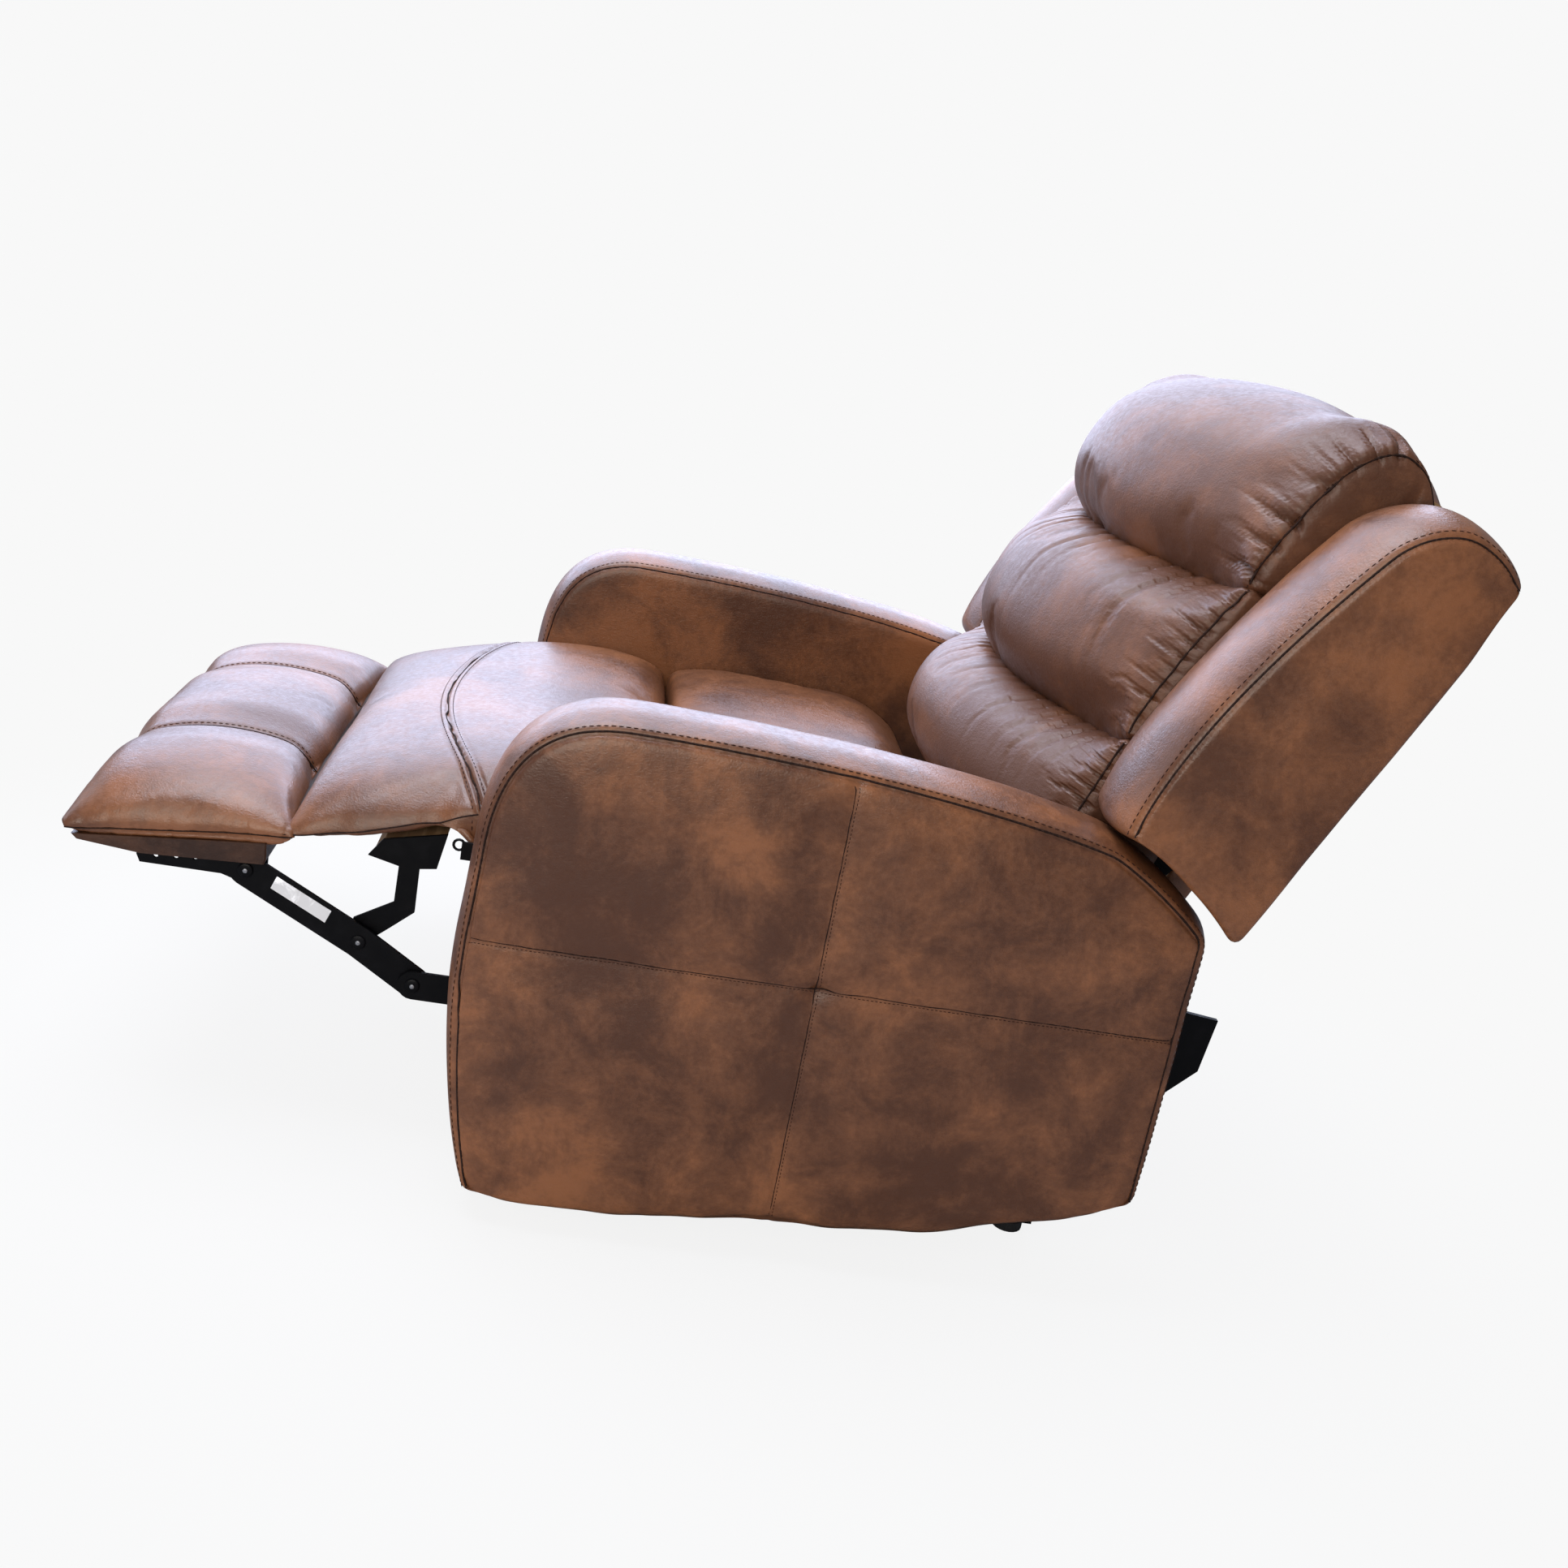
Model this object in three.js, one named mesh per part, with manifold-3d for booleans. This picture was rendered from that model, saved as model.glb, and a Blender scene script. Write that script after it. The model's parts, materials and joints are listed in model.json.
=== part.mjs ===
// Three-pillow recliner armchair with a chaise leg rest, millimetres, +Z up, front towards -Y.
// The rest pose has the leg rest out and the back a little reclined.
// Sections are drawn in the side plane as [y, z] and extruded along X.
import * as THREE from 'three';
import { mergeVertices } from 'three/addons/utils/BufferGeometryUtils.js';
import Module from 'manifold-3d';

const wasm = await Module();
wasm.setup();

// ---- driving dimensions -------------------------------------------------------------------
const overallWidth = 960;        // across the two arms
const armWidth = 122;
const armFrontY = -376;          // foremost line of the arm front
const armTopFront = 580;         // highest line of the arm, just behind its rounded front
const armTopFall = 38;           // fall of the arm top from front to rear curve
const armRearY = 388;
const armBottomFront = 36;
const armBottomRear = 130;
const armSkin = 18;              // thickness of each padded arm panel and of the arm band
const wingStandOff = 6;          // how far a wing stands outside the arm
const wingStandIn = 7;           // and how far inside it
const backSlope = 21.65;         // degrees from upright at rest
const backHinge = [169, 258];
const armRearRadius = 288;       // arm rear curve, struck from the back hinge
const wingBottomRadius = 311;    // wing bottom edge, struck from the back hinge
const backRear = -148.5;         // rear face of the back, measured from the hinge along its normal
const wingTop = 717;             // top of a wing above the hinge, along the back's slope
const lowPillowHeight = 155;
const midPillowHeight = 204;
const headPillowHeight = 276;
const pillowOverSeat = 17;       // free height between the seat and the low pillow
const seatTop = 440;
const seatPadBottom = 322.6;
const linkHinge = [-216, 288];   // leg rest: first link to side plate
const elbow = [-425, 204];       // first link to second link
const ottomanHinge = [-622, 312];
const crankHinge = [-491, 245];
const plate = 4;                 // pressed steel plate
const plateGap = 2;              // running gap between neighbouring plates
const pinRadius = 5;
const pinClearance = 0.35;
const elbowPinRadius = 8;
const ottomanSideGap = 8;        // leg-rest pad to the inner face of an arm
const ottomanFrontY = -812;
const ottomanRearY = -600;
const boardThickness = 12;
const railHeight = 28;
const railWidth = 27;
const glideHeight = 12;
const glideRadius = 18;
const baseFrontY = -290;
const baseRearY = 330;
const seatRailHeight = 33;
const springRadius = 2;
const gap = 0.3;                 // faces of neighbouring pieces stay this far apart

// ---- derived sizes and stations across the width -----------------------------------------------
const outer = overallWidth / 2;
const armTopRear = armTopFront - armTopFall;
const inner = outer - armWidth;
const wingOuter = outer + wingStandOff;
const wingInner = inner - wingStandIn;
const sidePlateX = inner - 12;                       // inboard face stations, counted outwards
const firstLinkX = sidePlateX - plateGap - plate;
const secondLinkX = firstLinkX - plateGap - plate;
const bracketX = secondLinkX - plateGap - plate;
const crankX = bracketX - plateGap - plate;
const padHalfWidth = inner - 1;
const ottomanHalfWidth = inner - ottomanSideGap;
const backHalfWidth = firstLinkX - gap;

// colour, roughness and metalness of each finish
const finishes = {
  leather: ['#69462f', 0.45, 0],
  plywood: ['#b08a5c', 0.7, 0],
  black_steel: ['#17171a', 0.35, 0.8],
  spring_steel: ['#6f7276', 0.4, 0.9],
  plastic: ['#202022', 0.5, 0],
};

// ---- helpers ----------------------------------------------------------------------------------
const chair = new THREE.Group();

function add(name, geometry, finish) {
  const [color, roughness, metalness] = finishes[finish];
  const mesh = new THREE.Mesh(geometry, new THREE.MeshStandardMaterial({ color, roughness, metalness }));
  mesh.name = name;
  chair.add(mesh);
  return mesh;
}

// side-plane section (y, z) swept from x0 to x1
const sideways = new THREE.Matrix4().makeBasis(
  new THREE.Vector3(0, 1, 0), new THREE.Vector3(0, 0, 1), new THREE.Vector3(1, 0, 0));

// a list of [y, z] points or a Shape, without the repeated points that curves leave at their joins
function outlineOf(section, divisions) {
  const points = section instanceof THREE.Shape
    ? section.extractPoints(divisions).shape
    : section.map(([y, z]) => new THREE.Vector2(y, z));
  const distinct = points.filter((point, i) => (
    point.distanceTo(points[(i + points.length - 1) % points.length]) > 0.01));
  return new THREE.Shape(distinct);
}

function sweep(section, x0, x1, divisions = 6) {
  const geometry = new THREE.ExtrudeGeometry(outlineOf(section, divisions), {
    depth: x1 - x0, bevelEnabled: false });
  return geometry.applyMatrix4(sideways).translate(x0, 0, 0);
}

function solid(geometry) {
  let bare = geometry.clone();
  bare.deleteAttribute('normal');
  bare.deleteAttribute('uv');
  bare = mergeVertices(bare, 1e-4);
  return new wasm.Manifold(new wasm.Mesh({
    numProp: 3,
    vertProperties: new Float32Array(bare.attributes.position.array),
    triVerts: new Uint32Array(bare.index.array),
  }));
}

function meshOf(body) {
  const { numProp, vertProperties, triVerts } = body.getMesh();
  const position = new Float32Array(vertProperties.length / numProp * 3);
  for (let i = 0; i < position.length / 3; i += 1) {
    for (let k = 0; k < 3; k += 1) position[3 * i + k] = vertProperties[numProp * i + k];
  }
  const geometry = new THREE.BufferGeometry();
  geometry.setAttribute('position', new THREE.BufferAttribute(position, 3));
  geometry.setIndex([...triVerts]);
  return geometry;
}

const joined = (...parts) => meshOf(parts.map(solid).reduce((a, b) => a.add(b)));
const cut = (whole, ...tools) => meshOf(tools.map(solid).reduce((a, b) => a.subtract(b), solid(whole)));

function block(x0, x1, y0, y1, z0, z1) {
  const geometry = new THREE.BoxGeometry(x1 - x0, y1 - y0, z1 - z0);
  return geometry.translate((x0 + x1) / 2, (y0 + y1) / 2, (z0 + z1) / 2);
}

// round bar or disc along X, centred on a side-plane point
function barX([y, z], radius, x0, x1, sides = 14) {
  const geometry = new THREE.CylinderGeometry(radius, radius, x1 - x0, sides);
  return geometry.rotateZ(Math.PI / 2).translate((x0 + x1) / 2, y, z);
}

// flat link with rounded ends through side-plane points
function link(points, halfWidth, x0, x1) {
  const legs = points.slice(1).map((end, i) => {
    const start = points[i];
    const along = Math.atan2(end[1] - start[1], end[0] - start[0]);
    const shape = new THREE.Shape();
    shape.absarc(...end, halfWidth, along - Math.PI / 2, along + Math.PI / 2, false);
    shape.absarc(...start, halfWidth, along + Math.PI / 2, along + 1.5 * Math.PI, false);
    return sweep(shape, x0, x1, 5);
  });
  return joined(...legs);
}

const mirrored = (geometry, side) => {
  if (side > 0) return geometry;
  const body = solid(geometry).mirror([1, 0, 0]);
  return meshOf(body);
};

// every left and right pair is drawn on the +X side and mirrored
function pair(name, geometry, finish) {
  add(`${name}_l`, mirrored(geometry, 1), finish);
  add(`${name}_r`, mirrored(geometry, -1), finish);
}

// back directions: up the slope, and forward out of the cushions
const slope = THREE.MathUtils.degToRad(backSlope);
const onBack = (up, forward) => [
  backHinge[0] + up * Math.sin(slope) - forward * Math.cos(slope),
  backHinge[1] + up * Math.cos(slope) + forward * Math.sin(slope),
];

// heights of the pillow seams along the slope
const pillowNose = 88;           // how far forward the low pillow's bottom edge lies
const lowSeam = (seatTop + pillowOverSeat - backHinge[1] - pillowNose * Math.sin(slope)) / Math.cos(slope);
const midSeam = lowSeam + lowPillowHeight;
const headSeam = midSeam + midPillowHeight;
const backTop = headSeam + headPillowHeight;

// ---- arms ---------------------------------------------------------------------------------------
const arcPoint = (radius, angle) => [
  backHinge[0] + radius * Math.cos(angle), backHinge[1] + radius * Math.sin(angle)];
const armRearEnd = Math.acos((armRearY - 2 - backHinge[0]) / armRearRadius);
const armRearStart = Math.max(
  Math.asin((armTopRear - 16 - backHinge[1]) / armRearRadius), armRearEnd + 0.02);

function armShape(inset = 0) {
  const front = armFrontY + inset;
  const top = armTopFront - inset;
  const rear = armRearY - inset;
  const low = armBottomFront + inset;
  const radius = armRearRadius - inset;
  const start = arcPoint(radius, armRearStart);
  const shape = new THREE.Shape();
  shape.moveTo(front + 38, low);
  shape.quadraticCurveTo(front - 6, low + 150, front + 4, armTopFront - 250);
  shape.lineTo(front + 10, armTopFront - 160);
  shape.bezierCurveTo(front + 12, top - 55, front + 55, top - 2, front + 140, top);
  shape.quadraticCurveTo(start[0] - 110, armTopRear + 14 - inset, start[0], start[1]);
  shape.absarc(...backHinge, radius, armRearStart, armRearEnd, true);
  shape.lineTo(rear - 2, 334);
  shape.lineTo(rear, armBottomRear + inset);
  shape.quadraticCurveTo(150, 55 + inset, front + 38, low);
  return shape;
}

function addArms() {
  const bandInner = inner + armSkin + gap;
  const bandOuter = outer - armSkin - gap;
  const bandEase = 1.5;
  pair('arm_inner_panel', sweep(armShape(2), inner, inner + armSkin, 7), 'leather');
  pair('arm_outer_panel', sweep(armShape(), outer - armSkin, outer, 7), 'leather');
  pair('arm_frame', sweep(armShape(armSkin + bandEase), bandInner, bandOuter, 7), 'plywood');
  const shell = cut(
    sweep(armShape(), bandInner, bandOuter, 7),
    sweep(armShape(armSkin), bandInner - 5, bandOuter + 5, 7));
  pair('arm_band', shell, 'leather');
  const bracketSide = inner + armSkin + 2;
  const rearBracket = [
    [armRearY - gap, 186], [armRearY + 66, 258], [armRearY + 72, 322], [armRearY + 1, 330]];
  pair('arm_rear_bracket', sweep(rearBracket, bracketSide, bracketSide + 6), 'black_steel');
  const tabLow = armTopFront - 208;
  const ring = new THREE.TorusGeometry(6, 1.6, 6, 14).rotateY(Math.PI / 2);
  const tab = joined(
    block(inner + 2, inner + 6, armFrontY - 12, armFrontY + 8.3, tabLow, tabLow + 20),
    ring.translate(inner + 4, armFrontY - 15, tabLow + 16));
  pair('cover_ring', tab, 'black_steel');
}

// ---- release lever on the far arm --------------------------------------------------------------------
const leverHinge = [-150, 300];

function addLever() {
  const face = -outer;
  add('release_bezel', barX(leverHinge, 30, face - 2.3, face - gap, 20), 'plastic');
  const handle = joined(
    link([leverHinge, [leverHinge[0] - 120, leverHinge[1] + 14]], 15, face - 6, face - 2.6),
    barX(leverHinge, 22, face - 6, face - 2.6, 20));
  add('release_lever', handle, 'plastic');
}

// ---- base, side plates and seat frame --------------------------------------------------------------
function addBase() {
  const railOuter = sidePlateX - gap;
  const railInner = railOuter - railWidth;
  const railTop = glideHeight + railHeight;
  pair('base_rail', block(railInner, railOuter, baseFrontY, baseRearY, glideHeight, railTop), 'black_steel');
  const crossHalf = railInner - gap;
  for (const [name, y] of [['base_cross_front', baseFrontY], ['base_cross_rear', baseRearY - railHeight]]) {
    add(name, block(-crossHalf, crossHalf, y, y + railHeight, glideHeight, railTop), 'black_steel');
  }
  for (const [name, y] of [['glide_front', baseFrontY + 25], ['glide_rear', baseRearY - 25]]) {
    const foot = new THREE.CylinderGeometry(glideRadius, glideRadius, glideHeight - gap, 20);
    foot.rotateX(Math.PI / 2).translate((railOuter + railInner) / 2, y, (glideHeight - gap) / 2);
    pair(name, foot, 'plastic');
  }

  const hingeReach = pinRadius * 3.4;
  const outline = [
    [linkHinge[0] - hingeReach, linkHinge[1] - hingeReach],
    [linkHinge[0] - hingeReach, linkHinge[1] + hingeReach],
    [linkHinge[0] + hingeReach, linkHinge[1] + hingeReach + 8],
    [backHinge[0] + hingeReach, backHinge[1] + hingeReach + 20],
    [backHinge[0] + hingeReach + 20, backHinge[1] - hingeReach],
    [backHinge[0] + hingeReach + 10, glideHeight],
    [linkHinge[0] + 30, glideHeight],
  ];
  const pinInner = firstLinkX - gap - 1.5;
  const spacers = [[-120, 120], [40, 120], [120, 200]];
  const sidePlate = joined(
    sweep(outline, sidePlateX, sidePlateX + plate),
    ...spacers.map((at) => barX(at, 9, sidePlateX + plate - 1, inner - gap, 10)),
    barX(linkHinge, pinRadius, pinInner, sidePlateX + 1),
    barX(backHinge, pinRadius, pinInner, sidePlateX + 1));
  pair('side_plate', sidePlate, 'black_steel');
}

const seatRailTop = seatPadBottom - gap - 2 * springRadius - gap;
const seatRailBottom = seatRailTop - seatRailHeight;
const seatRailFront = -250;
const seatRailRear = 185;
const seatRailX = 296;

function addSeatFrame() {
  const railOuter = seatRailX + 24;
  const lug = (y) => block(railOuter - 1, sidePlateX - gap, y, y + 40, seatRailBottom, seatRailBottom + 24);
  const rail = joined(
    block(seatRailX, railOuter, seatRailFront, seatRailRear, seatRailBottom, seatRailTop), lug(-130), lug(100));
  pair('seat_rail', rail, 'plywood');
  const half = seatRailX - gap;
  for (const [name, y] of [['seat_rail_front', seatRailFront], ['seat_rail_rear', seatRailRear - 28]]) {
    add(name, block(-half, half, y, y + 28, seatRailBottom, seatRailTop), 'plywood');
  }
  const springZ = seatRailTop + gap + springRadius;
  const waves = 9;
  const section = new THREE.Shape().absarc(0, 0, springRadius, 0, 2 * Math.PI, false);
  for (const [i, x] of [-190, 0, 190].entries()) {
    const points = [];
    for (let k = 0; k <= 2 * waves; k += 1) {
      const y = THREE.MathUtils.lerp(seatRailFront + 8, seatRailRear - 8, k / (2 * waves));
      points.push(new THREE.Vector3(x + (k % 2 ? 20 : -20), y, springZ));
    }
    const path = new THREE.CatmullRomCurve3(points, false, 'catmullrom', 0.5);
    const spring = new THREE.ExtrudeGeometry(section, {
      steps: 60, extrudePath: path, curveSegments: 3, bevelEnabled: false });
    add(`seat_spring_${i + 1}`, spring, 'spring_steel');
  }
}

// ---- seat cushions -----------------------------------------------------------------------------------
const rollFront = armFrontY - 22;
const rollSeam = -173;

function addSeatPads() {
  const roll = new THREE.Shape();
  roll.moveTo(rollSeam, seatPadBottom);
  roll.lineTo(rollSeam, seatTop - 2);
  roll.bezierCurveTo(rollSeam - 40, seatTop + 30, rollFront + 70, seatTop + 28, rollFront, seatTop + 2);
  roll.lineTo(rollFront, seatTop - 60);
  roll.lineTo(rollFront + 26, seatTop - 88);
  roll.lineTo(rollFront + 63, seatPadBottom + 2);
  roll.lineTo(rollFront + 75, seatPadBottom);
  add('seat_front_roll', sweep(roll, -padHalfWidth, padHalfWidth, 5), 'leather');

  const seat = [
    [rollSeam + gap, seatPadBottom], [185, seatPadBottom], [185, seatTop - 48],
    [118, seatTop - 7], [60, seatTop], [-60, seatTop + 4], [rollSeam + gap, seatTop - 2]];
  add('seat_cushion', sweep(seat, -padHalfWidth, padHalfWidth), 'leather');

  const chaise = new THREE.Shape();
  const front = ottomanRearY + 27;
  chaise.moveTo(front, seatTop - 86);
  chaise.lineTo(-494, seatTop - 66.5);
  chaise.lineTo(-425, seatTop - 47);
  chaise.lineTo(rollFront - gap, seatTop - 40);
  chaise.lineTo(rollFront - gap, seatTop + 2);
  chaise.bezierCurveTo(-455, seatTop + 2, -520, seatTop - 14, front, seatTop - 62);
  add('chaise_pad', sweep(chaise, -ottomanHalfWidth, ottomanHalfWidth, 5), 'leather');
}

// ---- leg rest ------------------------------------------------------------------------------------------
const boardLean = 12 / (ottomanRearY - ottomanFrontY);
const boardUnder = (y) => 326 + (y - ottomanFrontY) * boardLean;

function addLegRest() {
  const hole = pinRadius + pinClearance;
  const linkHalf = 17;
  const bend = [elbow[0] + 95, elbow[1]];
  const firstLink = cut(
    link([elbow, bend, linkHinge], linkHalf, firstLinkX, firstLinkX + plate),
    barX(linkHinge, hole, firstLinkX - 5, firstLinkX + plate + 5),
    barX(elbow, elbowPinRadius + pinClearance, firstLinkX - 5, firstLinkX + plate + 5, 18));
  pair('first_link', firstLink, 'black_steel');
  const pinHead = 1.2;
  const elbowPin = barX(elbow, elbowPinRadius, secondLinkX - pinHead, firstLinkX + plate + pinHead, 18);
  pair('elbow_pin', elbowPin, 'black_steel');

  const secondLink = cut(
    link([elbow, crankHinge, ottomanHinge], linkHalf + 2, secondLinkX, secondLinkX + plate),
    barX(elbow, elbowPinRadius + pinClearance, secondLinkX - 5, secondLinkX + plate + 5, 18),
    barX(crankHinge, hole, secondLinkX - 5, secondLinkX + plate + 5),
    barX(ottomanHinge, hole, secondLinkX - 5, secondLinkX + plate + 5));
  pair('second_link', secondLink, 'black_steel');

  const pinOuter = secondLinkX + plate + gap + 1.2;
  const crankPlate = [
    [-492, 346], [-477, 367], [-407, 383], [-415, 341], [-434, 338], [-434, 285],
    [-463, 259], [-478, 246], [-482, 235], [-496, 234], [-504, 243], [-501, 268], [-458, 294], [-457, 338]];
  pair('crank', joined(
    sweep(crankPlate, crankX, crankX + plate),
    barX(crankHinge, pinRadius, crankX + 1, pinOuter)), 'black_steel');
  const flipperHalf = crankX - gap;
  const flipper = [[-486, 352], [-476, 366], [-408, 381.5], [-411, 366]];
  add('chaise_board', sweep(flipper, -flipperHalf, flipperHalf), 'plywood');

  const bracket = [
    [-740, 301], [-744, 310], [-742, boardUnder(-742) - gap], [ottomanRearY, boardUnder(ottomanRearY) - gap],
    [ottomanRearY, 305], [-610, 296], [-630, 295], [-650, 301]];
  const fixing = [[-723, 311], [-701, 313], [-680, 315]];
  pair('ottoman_bracket', joined(
    cut(
      sweep(bracket, bracketX, bracketX + plate),
      ...fixing.map((at) => barX(at, 3, bracketX - 5, bracketX + 9, 10))),
    barX(ottomanHinge, pinRadius, bracketX + 1, pinOuter)), 'black_steel');

  const board = [
    [ottomanFrontY, boardUnder(ottomanFrontY)], [ottomanRearY, boardUnder(ottomanRearY)],
    [ottomanRearY, boardUnder(ottomanRearY) + boardThickness],
    [ottomanFrontY, boardUnder(ottomanFrontY) + boardThickness]];
  add('ottoman_board', sweep(board, -ottomanHalfWidth + 4, ottomanHalfWidth - 4), 'plywood');
  const under = (y) => boardUnder(y) + boardThickness + gap;
  const pad = new THREE.Shape();
  pad.moveTo(ottomanFrontY, under(ottomanFrontY));
  pad.quadraticCurveTo(ottomanFrontY - 8, 356, ottomanFrontY + 14, 376);
  pad.bezierCurveTo(ottomanFrontY + 50, 402, ottomanFrontY + 100, 412, ottomanFrontY + 140, 405);
  pad.quadraticCurveTo(ottomanRearY + 6, 392, ottomanRearY + 24, 364);
  pad.lineTo(ottomanRearY + 14, under(ottomanRearY) + 2);
  pad.lineTo(ottomanRearY, under(ottomanRearY));
  add('ottoman_pad', sweep(pad, -ottomanHalfWidth, ottomanHalfWidth, 5), 'leather');
}

// ---- back ------------------------------------------------------------------------------------------------
const wingFrontLow = Math.acos((276 - backHinge[0]) / wingBottomRadius);
const wingRearLow = Math.asin((457 - backHinge[1]) / wingBottomRadius);

function wingShape(inset = 0) {
  const low = arcPoint(wingBottomRadius + inset, wingFrontLow);
  const tipTop = onBack(wingTop - inset, -96);
  const rearTop = onBack(wingTop - 42 - inset, backRear + inset);
  const shape = new THREE.Shape();
  shape.moveTo(low[0] + inset, low[1]);
  shape.bezierCurveTo(
    ...onBack(400, 26 - inset), ...onBack(545, 2 - inset), ...onBack(670, -38 - inset));
  shape.quadraticCurveTo(...onBack(705, -60 - inset), ...tipTop);
  shape.quadraticCurveTo(...onBack(wingTop + 2 - inset, -130 + inset), ...rearTop);
  shape.absarc(...backHinge, wingBottomRadius + inset, wingRearLow, wingFrontLow, false);
  return shape;
}

function addBack() {
  const wingSplit = wingOuter - armSkin;
  pair('wing_outer_panel', sweep(wingShape(), wingSplit, wingOuter, 5), 'leather');
  const boardFront = -100;
  const boardRear = -118;
  const boardLow = 100;
  const boardHigh = backTop - 76;
  const flange = [
    onBack(330, boardFront), onBack(330, boardRear), onBack(660, boardRear), onBack(660, boardFront)];
  pair('wing_body', joined(
    sweep(wingShape(1), wingInner, wingSplit - gap, 5),
    sweep(flange, backHalfWidth + gap, wingInner + 1)), 'leather');

  const board = [
    onBack(boardLow, boardFront), onBack(boardLow, boardRear),
    onBack(boardHigh, boardRear), onBack(boardHigh, boardFront)];
  add('back_board', sweep(board, -backHalfWidth, backHalfWidth), 'plywood');
  const cover = [
    onBack(boardLow - 8, boardRear - gap), onBack(boardLow - 8, backRear),
    onBack(backTop - 12, backRear), onBack(backTop, backRear + 14), onBack(backTop - 4, boardRear - gap)];
  add('back_cover', sweep(cover, -backHalfWidth, backHalfWidth), 'leather');

  const bracketWaist = onBack(120, -60);
  const bracketEnd = onBack(300, -106);
  pair('back_bracket', cut(
    link([backHinge, bracketWaist, bracketEnd], 16, firstLinkX, firstLinkX + plate),
    barX(backHinge, pinRadius + pinClearance, firstLinkX - 5, firstLinkX + plate + 5)), 'black_steel');

  const padRear = boardFront + gap;
  const crease = 14;
  const lowPillow = new THREE.Shape();
  lowPillow.moveTo(...onBack(lowSeam - 29, padRear));
  lowPillow.lineTo(...onBack(lowSeam, pillowNose));
  lowPillow.bezierCurveTo(
    ...onBack(lowSeam + 26, 140), ...onBack(lowSeam + 83, 152), ...onBack(midSeam - 22, 152));
  lowPillow.quadraticCurveTo(...onBack(midSeam + 14, 140), ...onBack(midSeam - gap, crease));
  lowPillow.lineTo(...onBack(midSeam - gap, padRear));
  add('low_pillow', sweep(lowPillow, -backHalfWidth, backHalfWidth), 'leather');

  const midPillow = new THREE.Shape();
  midPillow.moveTo(...onBack(midSeam, padRear));
  midPillow.lineTo(...onBack(midSeam, crease));
  midPillow.lineTo(...onBack(midSeam + 18, 108));
  midPillow.bezierCurveTo(
    ...onBack(midSeam + 46, 150), ...onBack(headSeam - 68, 150), ...onBack(headSeam - 14, 128));
  midPillow.quadraticCurveTo(...onBack(headSeam + 10, 100), ...onBack(headSeam - gap, crease));
  midPillow.lineTo(...onBack(headSeam - gap, padRear));
  add('mid_pillow', sweep(midPillow, -backHalfWidth, backHalfWidth), 'leather');

  const headPillow = new THREE.Shape();
  headPillow.moveTo(...onBack(headSeam, padRear));
  headPillow.lineTo(...onBack(headSeam, crease));
  headPillow.lineTo(...onBack(headSeam + 18, 96));
  headPillow.bezierCurveTo(
    ...onBack(headSeam + 47, 138), ...onBack(backTop - 124, 130), ...onBack(backTop - 74, 76));
  headPillow.quadraticCurveTo(...onBack(backTop - 26, -10), ...onBack(backTop - 6, boardRear));
  headPillow.lineTo(...onBack(boardHigh + gap, boardRear));
  headPillow.lineTo(...onBack(boardHigh + gap, padRear));
  add('head_pillow', sweep(headPillow, -backHalfWidth, backHalfWidth), 'leather');
}

addArms();
addLever();
addBase();
addSeatFrame();
addSeatPads();
addLegRest();
addBack();

// the origin is the middle of the bounding box's underside
chair.updateMatrixWorld(true);
const bounds = new THREE.Box3().setFromObject(chair);
const middle = bounds.getCenter(new THREE.Vector3());
chair.position.set(-middle.x, -middle.y, -bounds.min.z);

export default chair;
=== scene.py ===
"""Looks of a three-pillow recliner armchair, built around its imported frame.

Laid out as an add-on: one operator makes each upholstered piece or finishes each group of
steel parts, one makes the stage, and a sidebar panel lists them.  Lengths are in metres.
"""
import json
import math

import bmesh
import bpy
import numpy as np
from mathutils import Matrix, Vector
from mathutils.bvhtree import BVHTree


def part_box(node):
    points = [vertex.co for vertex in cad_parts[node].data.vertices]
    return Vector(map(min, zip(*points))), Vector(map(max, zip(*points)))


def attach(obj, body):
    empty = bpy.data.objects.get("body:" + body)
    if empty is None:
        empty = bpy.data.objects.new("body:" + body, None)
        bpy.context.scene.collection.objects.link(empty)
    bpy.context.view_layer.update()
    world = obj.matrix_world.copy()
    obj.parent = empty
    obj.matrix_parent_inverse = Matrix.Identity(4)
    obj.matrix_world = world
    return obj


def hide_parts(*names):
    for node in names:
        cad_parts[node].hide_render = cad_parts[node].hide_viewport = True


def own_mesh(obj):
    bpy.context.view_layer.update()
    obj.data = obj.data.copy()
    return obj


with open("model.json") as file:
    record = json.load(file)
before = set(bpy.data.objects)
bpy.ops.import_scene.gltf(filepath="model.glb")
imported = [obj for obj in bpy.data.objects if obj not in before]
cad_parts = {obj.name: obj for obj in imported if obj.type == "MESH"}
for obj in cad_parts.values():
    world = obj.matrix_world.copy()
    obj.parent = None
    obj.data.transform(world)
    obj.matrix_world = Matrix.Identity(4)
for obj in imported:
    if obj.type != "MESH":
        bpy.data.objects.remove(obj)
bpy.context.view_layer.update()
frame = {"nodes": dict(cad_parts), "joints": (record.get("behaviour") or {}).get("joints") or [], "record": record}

bl_info = {
    "name": "Recliner Armchair Looks",
    "version": (1, 0, 0),
    "blender": (4, 5, 0),
    "location": "View3D > Sidebar > Recliner",
    "description": "Upholstery, sewing and finishes of a recliner armchair",
    "category": "Object",
}

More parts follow.
